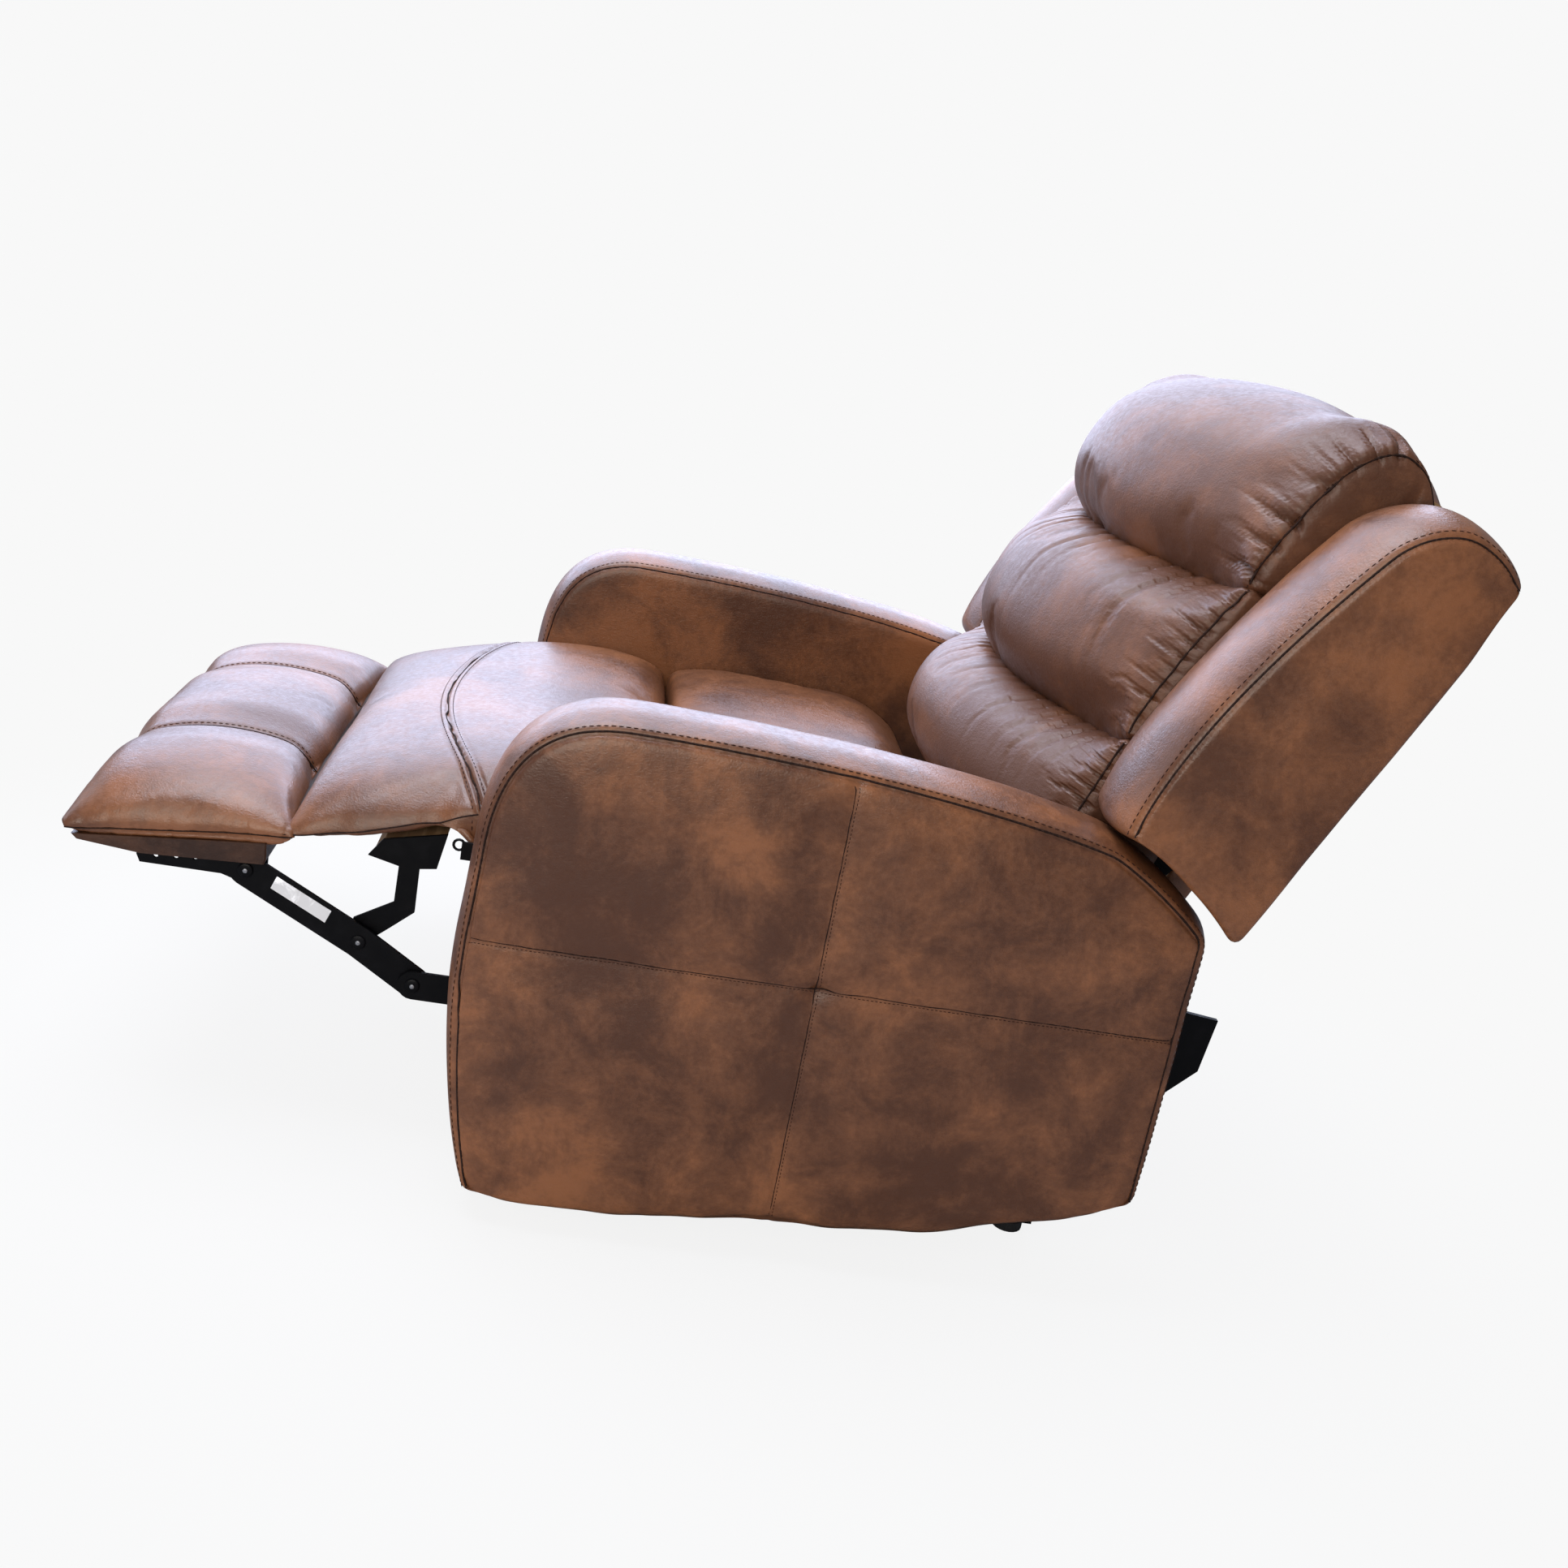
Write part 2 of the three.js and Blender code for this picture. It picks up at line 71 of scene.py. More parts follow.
# ---- places, all taken from the frame --------------------------------------
HANDS = (("l", 1), ("r", -1))            # the sitter's left and right, each with its sign along X
HINGES = {joint["name"]: Vector(joint["pos_m"]) for joint in frame["joints"]}
BACK_HINGE = np.array([0, *HINGES["back_recline"].yz])
SEAM_Y = BACK_HINGE[1] - 0.169           # the upright seam of the arm's side panel
SLOPE = math.radians(21.65)              # of the back, from upright
UP = np.array([0.0, math.sin(SLOPE), math.cos(SLOPE)])
OUT = np.array([0.0, -math.cos(SLOPE), math.sin(SLOPE)])
ARM_LOW, ARM_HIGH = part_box("arm_outer_panel_l")
ARM_OUTER = ARM_HIGH.x
ARM_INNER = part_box("arm_inner_panel_l")[0].x
WING_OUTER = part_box("wing_outer_panel_l")[1].x
WING_INNER = ARM_INNER - 0.007
PILLOW_HALF = WING_INNER - 0.001
SEAT_HALF = ARM_INNER - 0.0015
REST_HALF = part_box("ottoman_pad")[1].x


def side(y, z):
    """A side-plane point, as (y, z), from its place measured from the arm's upright seam."""
    return (y + SEAM_Y, z)


def in_side(x, place):
    """Points from side-plane places measured from the arm's upright seam."""
    place = np.asarray(place, float)
    return np.column_stack([np.broadcast_to(x, len(place)), place[:, 0] + SEAM_Y, place[:, 1]])


def on_back(up, forward):
    """A side-plane point from its place along the back's slope and out of it."""
    return BACK_HINGE[1:] + up * UP[1:] + forward * OUT[1:]


def from_back(x, place):
    """Points from their places along the back's slope and out of it."""
    place = np.asarray(place, float)
    aside = np.outer(np.broadcast_to(x, len(place)), [1, 0, 0])
    return BACK_HINGE + aside + np.outer(place[:, 0], UP) + np.outer(place[:, 1], OUT)


# ---- settings --------------------------------------------------------------
class RECLINER_PG_leather(bpy.types.PropertyGroup):
    """Colours and finish of the two-tone leatherette."""

    tan: bpy.props.FloatVectorProperty(
        name="Tan", description="Rubbed patches, the lightest tone", subtype="COLOR",
        size=4, min=0, max=1, default=(0.240, 0.090, 0.034, 1))
    brown: bpy.props.FloatVectorProperty(
        name="Brown", description="Main tone", subtype="COLOR",
        size=4, min=0, max=1, default=(0.142, 0.054, 0.023, 1))
    dark: bpy.props.FloatVectorProperty(
        name="Dark", description="Shaded clouds of the mottle", subtype="COLOR",
        size=4, min=0, max=1, default=(0.078, 0.029, 0.014, 1))
    # Near-black seam edge: the seam's real folded edge, darkened as painted shade of the groove, which the mesh is
    # too coarse to hold
    seam: bpy.props.FloatVectorProperty(
        name="Seam", description="Folded edge inside a seam", subtype="COLOR",
        size=4, min=0, max=1, default=(0.016, 0.008, 0.006, 1))
    thread: bpy.props.FloatVectorProperty(
        name="Thread", description="Topstitching", subtype="COLOR",
        size=4, min=0, max=1, default=(0.022, 0.009, 0.006, 1))
    roughness: bpy.props.FloatProperty(
        name="Roughness", description="Of the smooth surface", min=0, max=1, default=0.32)


class RECLINER_PG_sewing(bpy.types.PropertyGroup):
    """Sizes of seams and stitches."""

    stitch_pitch: bpy.props.FloatProperty(
        name="Stitch pitch", description="From one stitch to the next",
        unit="LENGTH", min=0.002, max=0.02, default=0.0075)
    stitch_length: bpy.props.FloatProperty(
        name="Stitch length", description="Thread that shows in each stitch",
        unit="LENGTH", min=0.001, max=0.02, default=0.0052)
    thread_width: bpy.props.FloatProperty(
        name="Thread width", description="Width of the thread",
        unit="LENGTH", min=0.0003, max=0.003, default=0.0014)
    seam_width: bpy.props.FloatProperty(
        name="Seam width", description="Dark line that shows in a closed seam",
        unit="LENGTH", min=0.0003, max=0.005, default=0.0026)
    topstitch_offset: bpy.props.FloatProperty(
        name="Topstitch offset", description="From a seam to the row of stitches beside it",
        unit="LENGTH", min=0.002, max=0.03, default=0.0045)


class RECLINER_PG_padding(bpy.types.PropertyGroup):
    """How full the soft pieces are."""

    crown: bpy.props.FloatProperty(
        name="Panel crown", description="Bulge of a padded panel between its seams",
        unit="LENGTH", min=0, max=0.02, default=0.004)
    seam_depth: bpy.props.FloatProperty(
        name="Seam depth", description="Dip of the cover along a seam",
        unit="LENGTH", min=0, max=0.01, default=0.0028)


# ---- meshes ----------------------------------------------------------------
def new_object(name, data):
    """A new object, linked to the scene."""
    piece = bpy.data.objects.new(name, data)
    bpy.context.scene.collection.objects.link(piece)
    return piece


def object_of(name, form):
    """A new object from a bmesh, which is used up."""
    mesh = bpy.data.meshes.new(name)
    form.to_mesh(mesh)
    form.free()
    return new_object(name, mesh)


def evaluated_mesh(piece):
    """A new mesh of a piece as its modifiers or its curve make it."""
    bpy.context.view_layer.update()
    return bpy.data.meshes.new_from_object(piece.evaluated_get(bpy.context.evaluated_depsgraph_get()))


def settle(piece):
    """Applies every modifier of a piece."""
    made = evaluated_mesh(piece)
    piece.modifiers.clear()
    piece.data = made
    made.name = piece.name
    return piece


def points_of(piece, kind="co"):
    """Where each vertex is, or with another kind its normal."""
    flat = np.empty(len(piece.data.vertices) * 3)
    piece.data.vertices.foreach_get(kind, flat)
    return flat.reshape(-1, 3)


def put_points(piece, points):
    """Moves every vertex to its new place."""
    piece.data.vertices.foreach_set("co", points.ravel())
    piece.data.update()


def push(piece, amount):
    """Moves each vertex along its normal by its own amount."""
    put_points(piece, points_of(piece) + points_of(piece, "normal") * amount[:, None])


def relax(piece, times):
    """Smooths a mesh: each pass moves every vertex halfway to the middle of its neighbours."""
    edges = np.empty(len(piece.data.edges) * 2, dtype=np.int64)
    piece.data.edges.foreach_get("vertices", edges)
    ends = np.concatenate([edges.reshape(-1, 2), edges.reshape(-1, 2)[:, ::-1]])
    points = points_of(piece)
    count = np.bincount(ends[:, 0], minlength=len(points))[:, None]
    for _ in range(times):
        total = np.stack([np.bincount(ends[:, 0], weights=points[ends[:, 1], k], minlength=len(points))
                          for k in range(3)], 1)
        points = points + 0.5 * (total / np.maximum(count, 1) - points)
    put_points(piece, points)


def refine(piece):
    """Doubles the mesh density smoothly."""
    finer = piece.modifiers.new("finer", "SUBSURF")
    finer.levels = finer.render_levels = 1
    return settle(piece)


# ---- shape fields ----------------------------------------------------------
CELL_PRIMES = (73856093, 19349663, 83492791)   # scramble a cell's three numbers
SEED_STEP, SCRAMBLE = 2654435, 1274126177
VALLEY_WIDTH = 0.15                      # of a gather, as a share of its spacing
BATCH = 4096                             # points that are compared with a path at a time


def soft_noise(points, seed=0):
    """Smooth value noise from -1 to 1 at points (n, 3), one cell to a unit."""
    cell = np.floor(points).astype(np.int64)
    t = points - cell
    t = t * t * (3 - 2 * t)
    total = 0
    for corner in range(8):
        step = np.array([corner & 1, corner >> 1 & 1, corner >> 2 & 1])
        x, y, z = ((cell + step) * CELL_PRIMES).T
        mix = x ^ y ^ z ^ (seed * SEED_STEP)
        mix = (mix ^ (mix >> 13)) * SCRAMBLE & 0x7FFFFFFF
        value = ((mix ^ (mix >> 15)) & 0xFFFF) / 32767.5 - 1
        weight = np.prod(np.where(step, t, 1 - t), axis=1)
        total = total + value * weight
    return total


def flat_noise(u, v, seed):
    """The same smooth noise over two measures."""
    return soft_noise(np.stack([u, v, np.zeros(len(u))], 1), seed)


def unevenness(points, *layers):
    """Slow unevenness of a cover, from layers that each have a scale, a height and a seed."""
    return sum(soft_noise(points * scale, seed) * height for scale, height, seed in layers)


def smooth_step(low, high, value):
    """0 up to low and 1 from high on, eased between them."""
    t = np.clip((value - low) / (high - low), 0, 1)
    return t * t * (3 - 2 * t)


def hump(distance, width):
    """1 where the distance is nothing, fading out over about two widths."""
    return np.exp(-(distance / width) ** 2)


def dip(distance, depth, width):
    """The dip of a cover along a seam."""
    return -depth * hump(distance, width)


def nearest_on(path, points):
    """Distance from each point to a dense path, and how far along the path that is."""
    path = np.asarray(path)
    along = lengths_along(path)
    distance = np.empty(len(points))
    station = np.empty(len(points))
    for start in range(0, len(points), BATCH):
        part = points[start:start + BATCH]
        gaps = ((part[:, None, :] - path[None, :, :]) ** 2).sum(2)
        best = gaps.argmin(1)
        distance[start:start + BATCH] = np.sqrt(gaps[np.arange(len(part)), best])
        station[start:start + BATCH] = along[best]
    return distance, station


def gathers(station, distance, spacing, depth, reach, seed):
    """Puckers that run away from a seam: narrow valleys, each with its own length, between puffs."""
    still = np.zeros(len(station))
    sway = 0.22 * flat_noise(station / spacing / 2, distance / reach * 2, seed + 1)
    phase = station / spacing + 0.8 * flat_noise(station / spacing / 2.7, still, seed + 2) + sway
    cell = np.round(phase)
    strength = 0.72 + 0.28 * flat_noise(cell, still, seed)
    valley = hump(phase - cell, VALLEY_WIDTH)
    return depth * hump(distance, reach * strength) * (0.35 - 1.35 * valley * strength)


# ---- paths in space --------------------------------------------------------
def lengths_along(path):
    """How far along a path each of its points is."""
    return np.concatenate([[0], np.cumsum(np.linalg.norm(np.diff(path, axis=0), axis=1))])


def spread(path, count):
    """The same path as a given number of evenly spaced points."""
    path = np.asarray(path, float)
    along = lengths_along(path)
    at = np.linspace(0, along[-1], count)
    return np.stack([np.interp(at, along, path[:, k]) for k in range(path.shape[1])], 1)


def respace(path, step):
    """The same path with points an even step apart."""
    length = lengths_along(np.asarray(path, float))[-1]
    return spread(path, max(2, int(round(length / step)) + 1))


def bezier(a, b, c, d, count=24):
    """A cubic curve from a to d."""
    t = np.linspace(0, 1, count)[:, None]
    a, b, c, d = (np.array(p, float) for p in (a, b, c, d))
    return (1 - t) ** 3 * a + 3 * (1 - t) ** 2 * t * b + 3 * (1 - t) * t ** 2 * c + t ** 3 * d


def smooth_curve(points, step=0.004):
    """A curve through a few points, as points an even step apart."""
    p = np.asarray(points, float)
    p = np.vstack([2 * p[0] - p[1], p, 2 * p[-1] - p[-2]])
    t = np.linspace(0, 1, 12, endpoint=False)[:, None]
    parts = []
    for a, b, c, d in zip(p, p[1:], p[2:], p[3:]):
        cubic = (3 * b - a - 3 * c + d) * t ** 3
        parts.append(0.5 * (2 * b + (c - a) * t + (2 * a - 5 * b + 4 * c - d) * t ** 2 + cubic))
    parts.append(p[-2:-1])
    return respace(np.concatenate(parts), step)


def joined(parts, step=0.006):
    """One path from parts that each start where the one before them ends."""
    return respace(np.concatenate([parts[0], *(part[1:] for part in parts[1:])]), step)


def inset_path(path, amount):
    """A side-plane path moved to its right by an amount."""
    ahead = np.gradient(path, axis=0)
    ahead /= np.linalg.norm(ahead, axis=1)[:, None]
    return path + np.stack([ahead[:, 1], -ahead[:, 0]], 1) * amount


def across(x, path):
    """A side-plane path placed at one station across the width."""
    return np.column_stack([np.full(len(path), x), path])


def flip(path, sign):
    """A path of the left hand's piece on the hand that has this sign."""
    return path * [sign, 1, 1]


def even_out(path, times=2):
    """Takes the jitter out of a path laid on a faceted surface."""
    path = path.copy()
    for _ in range(times):
        path[1:-1] = (path[:-2] + 2 * path[1:-1] + path[2:]) / 4
    return path


def surface_of(piece):
    """A piece's surface, to find places on."""
    form = bmesh.new()
    form.from_mesh(piece.data)
    tree = BVHTree.FromBMesh(form)
    form.free()
    return tree


def on_surface(piece, path, lift=0.0):
    """Path points moved onto a piece's surface, with the surface normals there."""
    tree = surface_of(piece)
    places, normals = [], []
    for point in path:
        hit, normal, _, _ = tree.find_nearest(Vector(point))
        places.append(hit + normal * lift)
        normals.append(normal)
    return np.array(places), np.array(normals)


def laid(piece, path, step=0.003):
    """A path drawn on a piece's surface."""
    return even_out(on_surface(piece, respace(path, step))[0])


def let_down(piece, path, step=0.004):
    """A path let down onto a piece from above."""
    tree = surface_of(piece)
    hits = [tree.ray_cast(Vector((x, y, 2)), Vector((0, 0, -1)))[0] for x, y, _ in path]
    return even_out(respace([hit for hit in hits if hit is not None], step), 3)


# ---- materials -------------------------------------------------------------
class Nodes:
    """Short hand for building one node tree."""

    def __init__(self, tree):
        self.tree = tree

    def feed(self, socket, value):
        """Gives a socket a plain value or another node's output."""
        if isinstance(value, bpy.types.NodeSocket):
            self.tree.links.new(value, socket)
        else:
            socket.default_value = value

    def add(self, kind, inputs, **values):
        """A new node with its settings and what its sockets get."""
        node = self.tree.nodes.new(kind)
        for key, value in values.items():
            setattr(node, key, value)
        for key, value in inputs.items():
            self.feed(node.inputs[key], value)
        return node

    def noise(self, vector, scale, detail=2.0, roughness=0.5, distortion=0.0):
        return self.add("ShaderNodeTexNoise", {
            "Vector": vector, "Scale": scale, "Detail": detail, "Roughness": roughness,
            "Distortion": distortion}).outputs["Fac"]

    def ramp(self, value, low, high, to_low=0.0, to_high=1.0):
        return self.add("ShaderNodeMapRange", {
            "Value": value, "From Min": low, "From Max": high, "To Min": to_low, "To Max": to_high},
            interpolation_type="SMOOTHSTEP").outputs["Result"]

    def mapping(self, vector, **inputs):
        return self.add("ShaderNodeMapping", {"Vector": vector, **inputs}).outputs[0]

    def mix(self, factor, a, b):
        return self.add("ShaderNodeMix", {0: factor, 6: a, 7: b}, data_type="RGBA").outputs[2]

    def maths(self, operation, a, b):
        return self.add("ShaderNodeMath", {0: a, 1: b}, operation=operation).outputs[0]

    def bump(self, height, strength, distance):
        return self.add("ShaderNodeBump", {
            "Height": height, "Strength": strength, "Distance": distance}).outputs[0]


class Finish(Nodes):
    """A material being built: its shader, and the Object coordinates that its patterns lie on."""

    def __init__(self, name, colour, roughness, metallic=0.0, shine=0.5):
        self.material = bpy.data.materials.new(name)
        self.material.use_nodes = True
        super().__init__(self.material.node_tree)
        self.shader = self.tree.nodes["Principled BSDF"]
        self.place = self.add("ShaderNodeTexCoord", {}).outputs["Object"]
        for socket, value in (("Specular IOR Level", shine), ("Base Color", colour),
                              ("Roughness", roughness), ("Metallic", metallic)):
            self.give(socket, value)

    def give(self, socket, value):
        """Gives one of the shader's sockets a value or another node's output."""
        self.feed(self.shader.inputs[socket], value)


def made_once(make):
    """Lets a maker of named materials hand out the one that is there already."""
    def find_or_make(name, *values, **options):
        return bpy.data.materials.get(name) or make(name, *values, **options)

    return find_or_make


def tinted(colour, factor):
    """A colour made lighter or darker."""
    return (*(part * factor for part in colour[:3]), 1)


def new_group(name, outputs):
    """A new node group with a Vector input: its nodes, that input, and the sockets of its outputs."""
    tree = bpy.data.node_groups.new(name, "ShaderNodeTree")
    tree.interface.new_socket("Vector", in_out="INPUT", socket_type="NodeSocketVector")
    for output in outputs:
        tree.interface.new_socket(output, in_out="OUTPUT", socket_type="NodeSocketFloat")
    nodes = Nodes(tree)
    return nodes, nodes.add("NodeGroupInput", {}).outputs["Vector"], nodes.add("NodeGroupOutput", {}).inputs


def mottle_group():
    """Tone of the hide, 0 where it is shaded and 1 where it is rubbed: Vector in; Tone and Flecks out."""
    name = "Leatherette mottle"
    if name in bpy.data.node_groups:
        return bpy.data.node_groups[name]
    nodes, place, ends = new_group(name, ("Tone", "Flecks"))
    moved = nodes.add("ShaderNodeVectorMath", {0: place, 1: (3.7, 1.9, 8.2)}, operation="ADD").outputs[0]
    patches = nodes.maths("MULTIPLY", nodes.noise(place, 5.6, 2.0, 0.5, 0.5), 0.80)
    clouds = nodes.maths("MULTIPLY", nodes.noise(moved, 13.0, 8, 0.70, 0.4), 0.80)
    flecks = nodes.noise(place, 150, 4, 0.6)
    tone = nodes.maths("ADD", patches, nodes.maths("ADD", clouds, nodes.maths("MULTIPLY", flecks, 0.20)))
    nodes.feed(ends["Tone"], nodes.ramp(tone, 0.62, 1.18))
    nodes.feed(ends["Flecks"], flecks)
    return nodes.tree


def grain_group():
    """Fine hide grain: Vector in; Height out."""
    name = "Leatherette grain"
    if name in bpy.data.node_groups:
        return bpy.data.node_groups[name]
    nodes, place, ends = new_group(name, ("Height",))
    cells = nodes.add("ShaderNodeTexVoronoi", {"Vector": place, "Scale": 520}, feature="SMOOTH_F1")
    creases = nodes.noise(nodes.mapping(place, Scale=(1.0, 0.5, 1.5)), 240, 4, 0.62, 0.9)
    ripple = nodes.noise(place, 34, 3, 0.55, 0.3)
    height = nodes.maths("ADD", nodes.maths("MULTIPLY", cells.outputs["Distance"], 0.5), creases)
    nodes.feed(ends["Height"], nodes.maths("ADD", height, nodes.maths("MULTIPLY", ripple, 1.6)))
    return nodes.tree


@made_once
def leather_material(name, shift=(0, 0, 0), calm=0.0, lift=0.0, depth=1.0, worn=0.0):
    """Mottled leatherette: shift picks a part of the hide, calm tames its patches, lift lightens it,
    depth multiplies its colours and worn dulls its shine; a low lift and a depth below 1 paint shade."""
    look = bpy.context.scene.recliner_leather
    rough = look.roughness + worn
    nodes = Finish(name, look.brown, rough)
    hide = nodes.mapping(nodes.place, Location=shift)
    mottle = nodes.add("ShaderNodeGroup", {}, node_tree=mottle_group())
    grain = nodes.add("ShaderNodeGroup", {}, node_tree=grain_group())
    for group in (mottle, grain):
        nodes.feed(group.inputs["Vector"], hide)
    tone = nodes.maths("ADD", mottle.outputs["Tone"], lift)
    dark, brown, tan = (tinted(colour, depth) for colour in (look.dark, look.brown, look.tan))
    base = nodes.mix(nodes.ramp(tone, 0.05, 0.60, calm * 0.7, 1.0), dark, brown)
    nodes.give("Base Color", nodes.mix(nodes.ramp(tone, 0.45, 1.0, 0.0, 1.0 - calm), base, tan))
    nodes.give("Roughness", nodes.ramp(mottle.outputs["Flecks"], 0.3, 0.7, rough - 0.04, rough + 0.08))
    nodes.give("Normal", nodes.bump(grain.outputs["Height"], strength=0.42, distance=0.0008))
    return nodes.material


@made_once
def shaded_seam_material(name):
    """The folded edge of leatherette inside a seam, coloured near-black as painted shade of the seam's groove."""
    colour = bpy.context.scene.recliner_leather.seam
    nodes = Finish(name, colour, 0.75, shine=0.1)
    share = nodes.ramp(nodes.noise(nodes.place, 300, 3), 0.4, 0.7)
    nodes.give("Base Color", nodes.mix(share, colour, tinted(colour, 2.2)))
    return nodes.material


@made_once
def thread_material(name):
    """Spun thread."""
    colour = bpy.context.scene.recliner_leather.thread
    nodes = Finish(name, colour, 0.8, shine=0.12)
    nodes.give("Base Color", nodes.mix(nodes.noise(nodes.place, 900, 2), colour, tinted(colour, 1.8)))
    return nodes.material


@made_once
def steel_material(name, colour, roughness, metallic, shine=0.5):
    """Pressed steel: a faint orange-peel and handling marks in the paint."""
    nodes = Finish(name, colour, roughness, metallic, shine)
    wear = nodes.noise(nodes.place, 45, 5, 0.6, 0.3)
    nodes.give("Base Color", nodes.mix(nodes.ramp(wear, 0.5, 0.72), colour, tinted(colour, 1.9)))
    nodes.give("Roughness", nodes.ramp(wear, 0.3, 0.7, roughness - 0.08, roughness + 0.1))
    nodes.give("Normal", nodes.bump(nodes.noise(nodes.place, 420, 2), strength=0.15, distance=0.0004))
    return nodes.material


@made_once
def plywood_material(name):
    """Plywood with its figure drawn out along X."""
    nodes = Finish(name, (0.42, 0.27, 0.14, 1), 0.7)
    figure = nodes.noise(nodes.mapping(nodes.place, Scale=(3, 40, 40)), 1.5, 6, 0.6, 1.2)
    share = nodes.ramp(figure, 0.35, 0.65)
    nodes.give("Base Color", nodes.mix(share, (0.46, 0.30, 0.16, 1), (0.30, 0.18, 0.085, 1)))
    return nodes.material


# ---- finishing and sewing --------------------------------------------------
def finished(piece, finish):
    """Gives a smooth piece its one material."""
    piece.data.materials.clear()
    piece.data.materials.append(finish)
    piece.data.polygons.foreach_set("use_smooth", [True] * len(piece.data.polygons))
    return piece


def mount_piece(piece, body, stands_for=()):
    """Puts a piece on its body and hides the CAD nodes that it stands for."""
    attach(piece, body)
    if stands_for:
        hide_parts(*stands_for)
    return piece


def upholster(piece, finish, body, stands_for, fill):
    """Finishes a padded piece and mounts it."""
    mount_piece(finished(piece, finish), body, stands_for=stands_for)


SEAM_STEP = 0.006                        # between points of a seam's line
THREAD_LIFT = 0.0001                     # from the cover to the middle of a thread


def seam_line(name, cover, path, body, width=None, sink=0.0004):
    """The dark edge that shows in a closed seam: a thin roll laid in the cover's dip, near-black as painted shade
    of the seam's groove.
    """
    places = even_out(on_surface(cover, respace(path, SEAM_STEP), -sink)[0])
    curve = bpy.data.curves.new(name, "CURVE")
    curve.dimensions = "3D"
    curve.bevel_depth = (width or bpy.context.scene.recliner_sewing.seam_width) / 2
    curve.bevel_resolution = 1
    curve.use_fill_caps = True
    line = curve.splines.new("POLY")
    line.points.add(len(places) - 1)
    line.points.foreach_set("co", np.column_stack([places, np.ones(len(places))]).ravel())
    drawn = new_object(name, curve)
    mesh = evaluated_mesh(drawn)
    bpy.data.objects.remove(drawn)
    bpy.data.curves.remove(curve)
    mesh.name = name
    return mount_piece(finished(new_object(name, mesh), shaded_seam_material("Seam edge")), body)


def stitch_template():
    """One thread as it shows in a stitch: length along X, one unit each way."""
    form = bmesh.new()
    bmesh.ops.create_uvsphere(form, u_segments=6, v_segments=4, radius=0.5,
                              matrix=Matrix.Rotation(math.pi / 2, 4, "Y"))
    form.verts.index_update()
    points = np.array([v.co for v in form.verts])
    faces = [[v.index for v in face.verts] for face in form.faces]
    form.free()
    return points, faces


def stitch_row(name, cover, path, body, size=1.0):
    """A row of topstitching: short rounded threads laid along a path on a cover."""
    sewing = bpy.context.scene.recliner_sewing
    places, normals = on_surface(cover, respace(path, sewing.stitch_pitch * size), THREAD_LIFT)
    places = even_out(places, 1)
    ahead = np.diff(places, axis=0)
    ahead /= np.linalg.norm(ahead, axis=1)[:, None]
    across_row = np.cross(normals[:-1], ahead)
    across_row /= np.linalg.norm(across_row, axis=1)[:, None]
    up = np.cross(ahead, across_row)
    shape, faces = stitch_template()
    thick = sewing.thread_width * size
    shape = shape * [sewing.stitch_length * size, thick, thick * 0.8]
    points = places[:-1, None, :]
    for k, way in enumerate((ahead, across_row, up)):
        points = points + shape[None, :, k, None] * way[:, None, :]
    stitches = [[row * len(shape) + i for i in face] for row in range(len(ahead)) for face in faces]
    mesh = bpy.data.meshes.new(name)
    mesh.from_pydata(points.reshape(-1, 3).tolist(), [], stitches)
    return mount_piece(finished(new_object(name, mesh), thread_material("Thread")), body)


# ---- soft forms ------------------------------------------------------------
def bridge(form, rows):
    """Faces between closed rows of as many vertices."""
    for near, far in zip(rows, rows[1:]):
        for i in range(len(near)):
            form.faces.new((near[i - 1], near[i], far[i], far[i - 1]))


def loft(name, rings, rounding, rungs=8):
    """A closed form through rings of points; each end is laid with a ladder from front to back.

    A ring is a front curve and a back curve of as many points, both from the same end.
    """
    form = bmesh.new()
    rows = [[form.verts.new(point) for point in np.concatenate([front, back[-2:0:-1]])]
            for front, back in rings]
    bridge(form, rows)
    for row, (front, back) in ((rows[0], rings[0]), (rows[-1], rings[-1])):
        count = len(front)
        columns = [[row[0]]]
        for i in range(1, count - 1):
            between = [front[i] + (back[i] - front[i]) * k / rungs for k in range(1, rungs)]
            columns.append([row[i], *(form.verts.new(point) for point in between), row[len(row) - i]])
        columns.append([row[count - 1]])
        for left, right in zip(columns, columns[1:]):
            if len(left) == 1 or len(right) == 1:
                tip, side_column = (left, right) if len(left) == 1 else (right, left)
                for k in range(rungs):
                    form.faces.new((tip[0], side_column[k], side_column[k + 1]))
            else:
                for k in range(rungs):
                    form.faces.new((left[k], left[k + 1], right[k + 1], right[k]))
    bmesh.ops.recalc_face_normals(form, faces=form.faces)
    piece = object_of(name, form)
    relax(piece, rounding)
    return piece


def inflate(piece, cap, pressure=4.0, frames=20):
    """Fills a closed cover by a cloth simulation; no point moves further than the cap."""
    rest = points_of(piece)
    cloth = piece.modifiers.new("filling", "CLOTH")
    cloth.settings.use_pressure = True
    cloth.settings.uniform_pressure_force = pressure
    cloth.settings.effector_weights.gravity = 0
    cloth.settings.quality = 3
    cloth.point_cache.frame_start = 1
    cloth.point_cache.frame_end = frames
    scene = bpy.context.scene
    for number in range(1, frames + 1):
        scene.frame_set(number)
    settle(piece)
    scene.frame_set(1)
    moved = points_of(piece) - rest
    far = np.maximum(np.linalg.norm(moved, axis=1), 1e-9)
    put_points(piece, rest + moved * (cap * np.tanh(far / cap) / far)[:, None])


def crown(t, power, fullness):
    """How full a pad is at a station from -1 to 1 across it."""
    return (1 - np.abs(t) ** power) ** fullness


def stations_across(count):
    """Stations from -1 to 1, closer together towards both ends."""
    even = np.linspace(-1, 1, count)
    return (even + np.sin(even * math.pi / 2)) / 2


